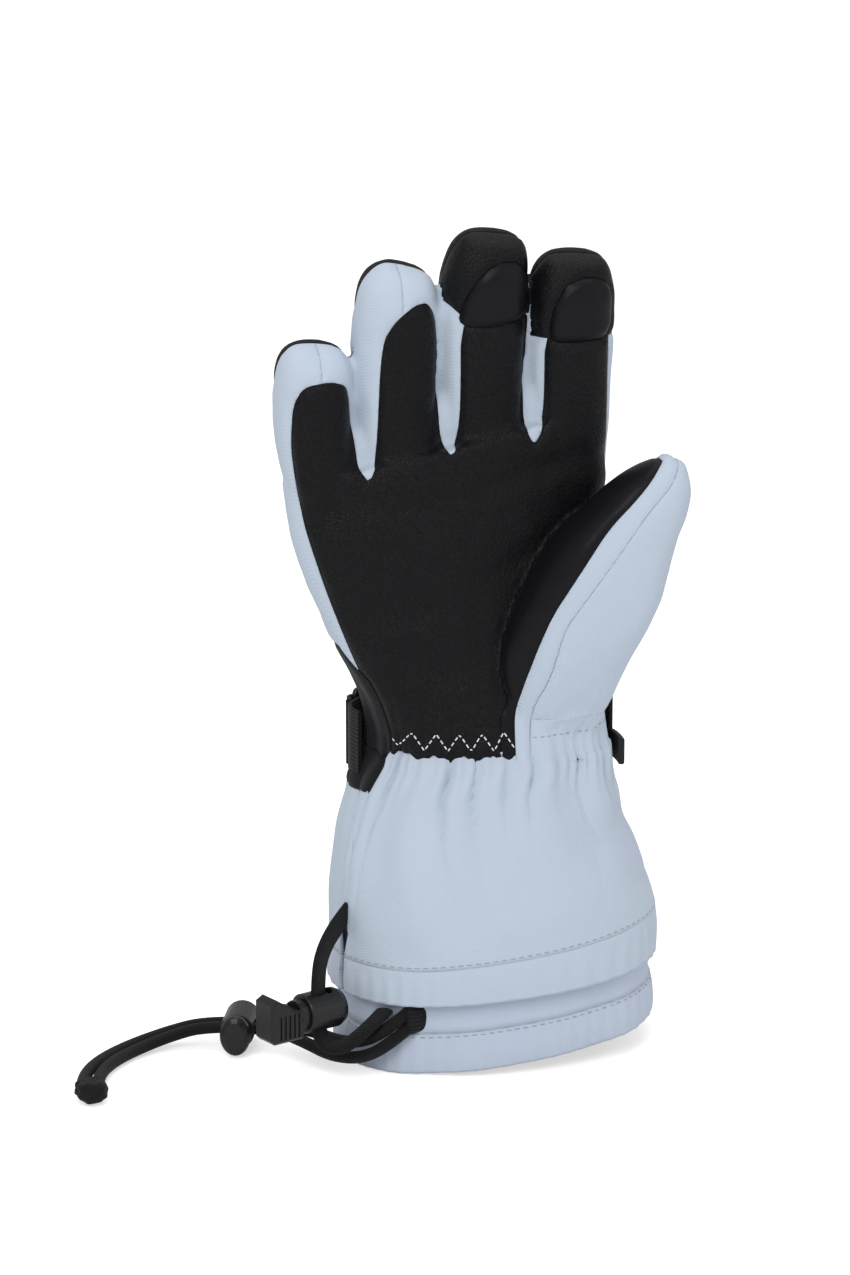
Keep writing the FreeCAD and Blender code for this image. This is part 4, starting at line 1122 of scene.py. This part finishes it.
def stitch_line(name, placed, material, slot, stitch, gap, width, height):
    points, tris = stitch_mesh(dashes(placed, stitch, gap), width, height)
    obj = new_object(name, points, tris, material)
    return add_piece(obj, "glove", slot)


def ring_line(z, offset, count=420):
    """Points round the cuff at one height of its cloth."""
    rows = np.array(CUFF_ROWS)
    points = []
    for angle in np.linspace(0.0, 360.0, count):
        t = math.radians(angle)
        cx, a, b, bulge = smooth_rows(rows[:, 0], rows[:, 1:], [z])[0]
        c, s = math.cos(t), math.sin(t)
        x = (a + offset) * math.copysign(abs(c) ** (2 / BODY_POWER), c)
        y = (b + offset) * math.copysign(abs(s) ** (2 / BODY_POWER), s)
        x -= 2.0 * bulge * max(0.0, s) * max(0.0, -c)
        points.append((cx + x, y, z + float(cuff_lean(cx + x, z))))
    return points


def seen_from_front(tree, places):
    """The (x, z) places on the surface that faces the palm's side."""
    placed = []
    for x, z in places:
        hit = tree.ray_cast(Vector((x, -80.0, z)), Vector((0, 1, 0)))
        if hit[0] is not None:
            placed.append((np.array(hit[0]), np.array(hit[1])))
    return placed


def build_stitches(mats):
    (left, right), (low, high), count = ZIGZAG_X, ZIGZAG_Z, ZIGZAG_PERIODS * 2
    zig = []
    for i in range(count):
        x0 = left + (right - left) * i / count
        x1 = left + (right - left) * (i + 1) / count
        z0, z1 = (low, high) if i % 2 else (high, low)
        zig += [(x0 + (x1 - x0) * f, z0 + (z1 - z0) * f)
                for f in np.linspace(0.0, 1.0, 8, endpoint=False)]
    palm = surface_tree(["palm_leather", "thumb_front_leather"])
    stitch_line("wrist_zigzag_stitches", seen_from_front(palm, zig), mats["white_thread"],
                "white_softshell", 1.7, 0.75, 0.6, 0.3)
    white = surface_tree(["thumb_gusset_fabric", "thumb_back_fabric", "thumb_base_fabric"])
    line = [(x, ELASTIC_STITCH_Z) for x in np.linspace(*ELASTIC_STITCH_X, 60)]
    stitch_line("wrist_elastic_stitches", seen_from_front(white, line), mats["grey_thread"],
                "white_softshell", 1.8, 0.9, 0.5, 0.2)
    outer = surface_tree(["outer_cuff_front_fabric", "outer_cuff_back_fabric"])
    inner = surface_tree(["inner_cuff_hem_fabric"])
    line = ring_line(HEM_TOP_Z + 1.4, 1.5)
    stitch_line("cuff_hem_stitches", laid_on(outer, line), mats["grey_thread"],
                "white_softshell", 2.2, 1.0, 0.5, 0.2)
    line = ring_line(13.6, -3.8)
    stitch_line("inner_cuff_stitches", laid_on(inner, line), mats["grey_thread"],
                "white_lining_cuff", 2.2, 1.0, 0.5, 0.2)


# ---- strap
def strap_point(angle, offset):
    rows = np.array(CUFF_ROWS)
    cx, a, b, _ = [float(np.interp(STRAP_Z, rows[:, 0], rows[:, k])) for k in (1, 2, 3, 4)]
    bulge = rows[-1, 4]
    t = math.radians(angle)
    c, s = math.cos(t), math.sin(t)
    a, b = a + LAYER + offset, b + LAYER + offset
    x = a * math.copysign(abs(c) ** (2.0 / BODY_POWER), c)
    y = b * math.copysign(abs(s) ** (2.0 / BODY_POWER), s)
    x -= 2.0 * bulge * max(0.0, s) * max(0.0, -c)
    return np.array([cx + x, y])


def ribbon(name, path, z0, z1, thickness, material, wave=0.25):
    """Webbing of that thickness along a path of (angle, offset) mid-line points."""
    line = np.array([strap_point(a, o) for a, o in path])
    ahead = np.gradient(line, axis=0)
    ahead /= np.linalg.norm(ahead, axis=1)[:, None]
    side = np.stack([ahead[:, 1], -ahead[:, 0]], axis=1)
    half, round_in = thickness / 2.0, 0.45
    outline = [(-half, z0 + round_in), (-half + round_in, z0), (half - round_in, z0),
               (half, z0 + round_in)]
    for f in np.linspace(0.08, 0.92, 12):
        outline.append((half, z0 + (z1 - z0) * f))
    outline += [(half, z1 - round_in), (half - round_in, z1), (-half + round_in, z1),
                (-half, z1 - round_in)]
    for f in np.linspace(0.92, 0.08, 12):
        outline.append((-half, z0 + (z1 - z0) * f))
    rings = []
    for i, (p, s) in enumerate(zip(line, side)):
        ripple = wave * math.sin(i * 0.23) * 0.4
        rings.append([(p[0] + s[0] * (o + ripple), p[1] + s[1] * (o + ripple), z)
                      for o, z in outline])
    points, tris = grid_mesh(np.array(rings), True, True)
    obj = new_object(name, points, tris, material, smooth=False)
    bevel = obj.modifiers.new("edge", "BEVEL")
    bevel.width = 0.25 * MM
    bevel.limit_method = "ANGLE"
    return obj


def arc_path(angle0, angle1, offset, step=2.0):
    count = max(2, int(abs(angle1 - angle0) / step) + 1)
    return [(a, offset) for a in np.linspace(angle0, angle1, count)]


def loop_path(side, tail_offset, reach):
    """Round a ring bar, from the inner layer out to the outer one."""
    bar = RING_ANGLE + side * RING_HALF
    top = WEB_T + 2 * LAYER + RING_BAR_D
    half = WEB_T / 2.0
    return [(bar - side * 2.6, half + 0.1), (bar - side * 3.7, half + 1.0),
            (bar - side * 3.9, 3.0), (bar - side * 3.0, top - 0.2),
            (bar - side * 1.2, top + half), (bar + side * 1.6, top + half),
            (bar + side * 5.4, tail_offset + half + 0.4),
            (bar + side * reach, tail_offset + half)]


def soften_path(path, times=2):
    path = np.asarray(path, float)
    for _ in range(times):
        mid = np.stack([path[:-1] * 0.75 + path[1:] * 0.25,
                        path[:-1] * 0.25 + path[1:] * 0.75], axis=1).reshape(-1, 2)
        path = np.concatenate([path[:1], mid, path[-1:]])
    return path


def build_strap(mats):
    z0, z1 = STRAP_Z, STRAP_Z + STRAP_W
    layer2 = WEB_T + LAYER
    tail = layer2 + 0.8
    web = mats["black_webbing"]
    bar = RING_ANGLE - RING_HALF
    path = arc_path(10.0, bar - 1.0, WEB_T / 2.0) + loop_path(-1, tail, 10.0)
    strap = ribbon("wrist_strap_webbing", soften_path(path), z0, z1, WEB_T, web)
    add_piece(strap, "glove", "black_webbing", "wrist_strap")
    bar = RING_ANGLE + RING_HALF
    path = arc_path(176.0, bar + 1.0, WEB_T / 2.0) + loop_path(1, layer2, 10.0)
    keeper = ribbon("strap_keeper_webbing", soften_path(path), z0, z1, WEB_T, web)
    add_piece(keeper, "glove", "black_webbing", "strap_keeper")
    start = RING_ANGLE - RING_HALF - 10.5
    end = ribbon("strap_tail_webbing", arc_path(start, 10.0, tail + WEB_T / 2.0), z0, z1,
                 WEB_T, web)
    add_piece(end, "strap_end", "black_webbing", "strap_tail")
    hook = ribbon("strap_hook_tape", arc_path(43.0, 14.0, layer2 + 0.4), z0 + 1.5, z1 - 1.5,
                  0.76, mats["hook_tape"], 0.0)
    add_piece(hook, "strap_end", "hook_tape", "strap_hook_patch")
    middle = (z0 + z1) / 2.0 - 6.0
    tab = ribbon("strap_pull_tab_rubber", arc_path(10.5, -7.0, tail + 1.2, 1.0),
                 middle - 5.0, middle + 5.0, 2.4, mats["tab_rubber"], 0.0)
    add_piece(tab, "strap_end", "tab_rubber", "strap_pull_tab")
    build_ring(mats, z0, z1)


def build_ring(mats, z0, z1):
    offset = WEB_T + LAYER + RING_BAR_D / 2.0
    p0 = strap_point(RING_ANGLE - RING_HALF, offset)
    p1 = strap_point(RING_ANGLE + RING_HALF, offset)
    over = 0.5 + RING_BAR_D / 2.0
    corners = [(*p0, z0 - over), (*p1, z0 - over), (*p1, z1 + over), (*p0, z1 + over)]
    path = []
    corners = [np.array(c) for c in corners]
    for i, c in enumerate(corners):
        before = corners[i - 1] - c
        after = corners[(i + 1) % 4] - c
        before, after = [v / np.linalg.norm(v) * 1.6 for v in (before, after)]
        for t in np.linspace(0.0, 1.0, 6):
            path.append(c + before * (1 - t) ** 2 + after * t ** 2)
    data, spline = new_curve("strap_ring_wire", path)
    spline.use_cyclic_u = True
    data.bevel_depth = RING_BAR_D / 2.0 * MM
    data.bevel_resolution = 4
    data.materials.append(mats["ring_wire"])
    add_piece(link("strap_ring_wire", data), "glove", "ring_wire", "strap_ring")


# ---- cords and locks
def build_cords(mats):
    draw = nurbs_cord("drawcord_braid", DRAWCORD_ROUTE, DRAWCORD_FLAT[0] / 2.0, 90.0)
    profile = flat_profile("drawcord_profile", *DRAWCORD_FLAT)
    draw.data.bevel_mode = "OBJECT"
    draw.data.bevel_object = profile
    draw.data.materials.append(mats["black_braid"])
    add_piece(draw, "glove", "black_braid", "drawcord", "drawcord_channel_run")
    strand_a = nurbs_cord("leash_strand_a_cord", LEASH_A_ROUTE, LEASH_D / 2.0)
    strand_b = nurbs_cord("leash_strand_b_cord", LEASH_B_ROUTE, LEASH_D / 2.0)
    for obj, cad in ((strand_a, "leash_strand_a"), (strand_b, "leash_strand_b")):
        obj.data.materials.append(mats["black_elastic"])
        add_piece(obj, "glove", "black_elastic", cad)
    knot = build_knot(mats)
    build_anchor(mats)


def build_knot(mats):
    """Crumpled end where the leash is gathered and sewn."""
    rings = []
    for d, a, b in ((-0.6, 2.0, 1.6), (0.0, 5.0, 3.4), (1.6, 6.0, 4.2), (3.2, 5.4, 3.7),
                    (4.6, 6.0, 4.3), (6.4, 5.6, 4.0), (8.0, 5.2, 4.3), (9.4, 4.0, 3.4),
                    (10.4, 1.8, 1.6)):
        flat = section(a, b, 2.2, 36)
        angle = np.linspace(0, 2 * math.pi, 36, endpoint=False)
        crumple = 1.0 + 0.09 * np.sin(angle * 5.0 + d * 1.3) + 0.05 * np.sin(angle * 8.0 - d)
        flat = flat * crumple[:, None]
        rings.append(np.stack([-157.4 + 0.06 * d + flat[:, 0],
                               -33.0 - d + 0.06 * flat[:, 0],
                               np.maximum(4.7 + flat[:, 1], 0.3)], axis=1))
    points, tris = grid_mesh(np.array(rings), True, True)
    obj = new_object("leash_knot_folds", points, tris, mats["black_elastic"])
    smooth = obj.modifiers.new("smooth", "SUBSURF")
    smooth.levels = 1
    smooth.render_levels = 1
    return add_piece(obj, "glove", "black_elastic", "leash_knot")


def build_anchor(mats):
    """Folded tape that holds the leash under the hem."""
    low, high = [np.array(c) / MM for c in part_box("leash_anchor")]
    middle_z = (low[2] + high[2]) / 2.0
    rings = []
    for x, wide, tall, y in ((-40.6, 2.4, 5.0, -33.2), (-39.8, 3.2, 5.6, -33.0),
                             (-37.0, 3.0, 5.4, -32.6), (-34.0, 2.0, 4.6, -32.4),
                             (-32.0, 1.0, 3.6, -32.2)):
        flat = section(wide, tall, 2.6, 28)
        rings.append(np.stack([np.full(28, x), y + flat[:, 0], middle_z + flat[:, 1]], axis=1))
    points, tris = grid_mesh(np.array(rings), True, True)
    obj = new_object("leash_anchor_tape", points, tris, mats["black_webbing"])
    return add_piece(obj, "glove", "black_webbing", "leash_anchor")


def dress_locks(mats):
    """The moulded and metal pieces keep their CAD form, with softened edges."""
    for prefix in ("drawcord_lock_", "leash_lock_"):
        for part in ("body", "button", "spring"):
            obj = frame["nodes"][prefix + part]
            obj.data.materials.clear()
            metal = part == "spring"
            obj.data.materials.append(mats["spring_wire" if metal else "lock_plastic"])
            if not metal:
                bevel = obj.modifiers.new("edge", "BEVEL")
                bevel.width = LOCK_EDGE * MM
                bevel.segments = 3
                bevel.limit_method = "ANGLE"
                bevel.angle_limit = math.radians(35.0)


# ---- stage
def make_stage():
    bpy.ops.mesh.primitive_plane_add(size=8.0, location=(0.0, 0.0, -0.0004))
    floor = bpy.context.object
    floor.name = "floor"
    material, shader = new_material("floor", (0.93, 0.93, 0.93), 0.9, specular=0.1)
    sight = node(material, "ShaderNodeLightPath").outputs["Is Camera Ray"]
    glow = node(material, "ShaderNodeMath", operation="MULTIPLY")
    glow.inputs[1].default_value = FLOOR_GLOW
    material.node_tree.links.new(sight, glow.inputs[0])
    shader.inputs["Emission Color"].default_value = (1.0, 1.0, 1.0, 1.0)
    material.node_tree.links.new(glow.outputs[0], shader.inputs["Emission Strength"])
    floor.data.materials.append(material)
    world = bpy.data.worlds.new("world")
    bpy.context.scene.world = world
    world.use_nodes = True
    tree = world.node_tree
    back, sight = tree.nodes["Background"], tree.nodes.new("ShaderNodeBackground")
    for made, strength in ((back, WORLD_LIGHT), (sight, 1.0)):
        made.inputs["Color"].default_value = (1.0, 1.0, 1.0, 1.0)
        made.inputs["Strength"].default_value = strength
    path = tree.nodes.new("ShaderNodeLightPath")
    mix = tree.nodes.new("ShaderNodeMixShader")
    out = tree.nodes["World Output"]
    tree.links.new(path.outputs["Is Camera Ray"], mix.inputs[0])
    tree.links.new(back.outputs[0], mix.inputs[1])
    tree.links.new(sight.outputs[0], mix.inputs[2])
    tree.links.new(mix.outputs[0], out.inputs["Surface"])
    for light in LIGHTS:
        add_light(*light)


def add_light(name, place, size, power):
    data = bpy.data.lights.new(name, "AREA")
    data.size = size
    data.energy = power
    aim_at(link(name, data), place, LIGHT_TARGET)


# ---- whole scene
def build():
    bpy.context.scene.view_settings.view_transform = "Standard"
    make_camera()
    mats = make_materials()
    build_cords(mats)
    make_stage()
    build_hand(mats)
    build_cuff(mats)
    build_inner_cuff(mats)
    build_hand_lining(mats)
    build_strap(mats)
    dress_locks(mats)
    build_stitches(mats)


build()
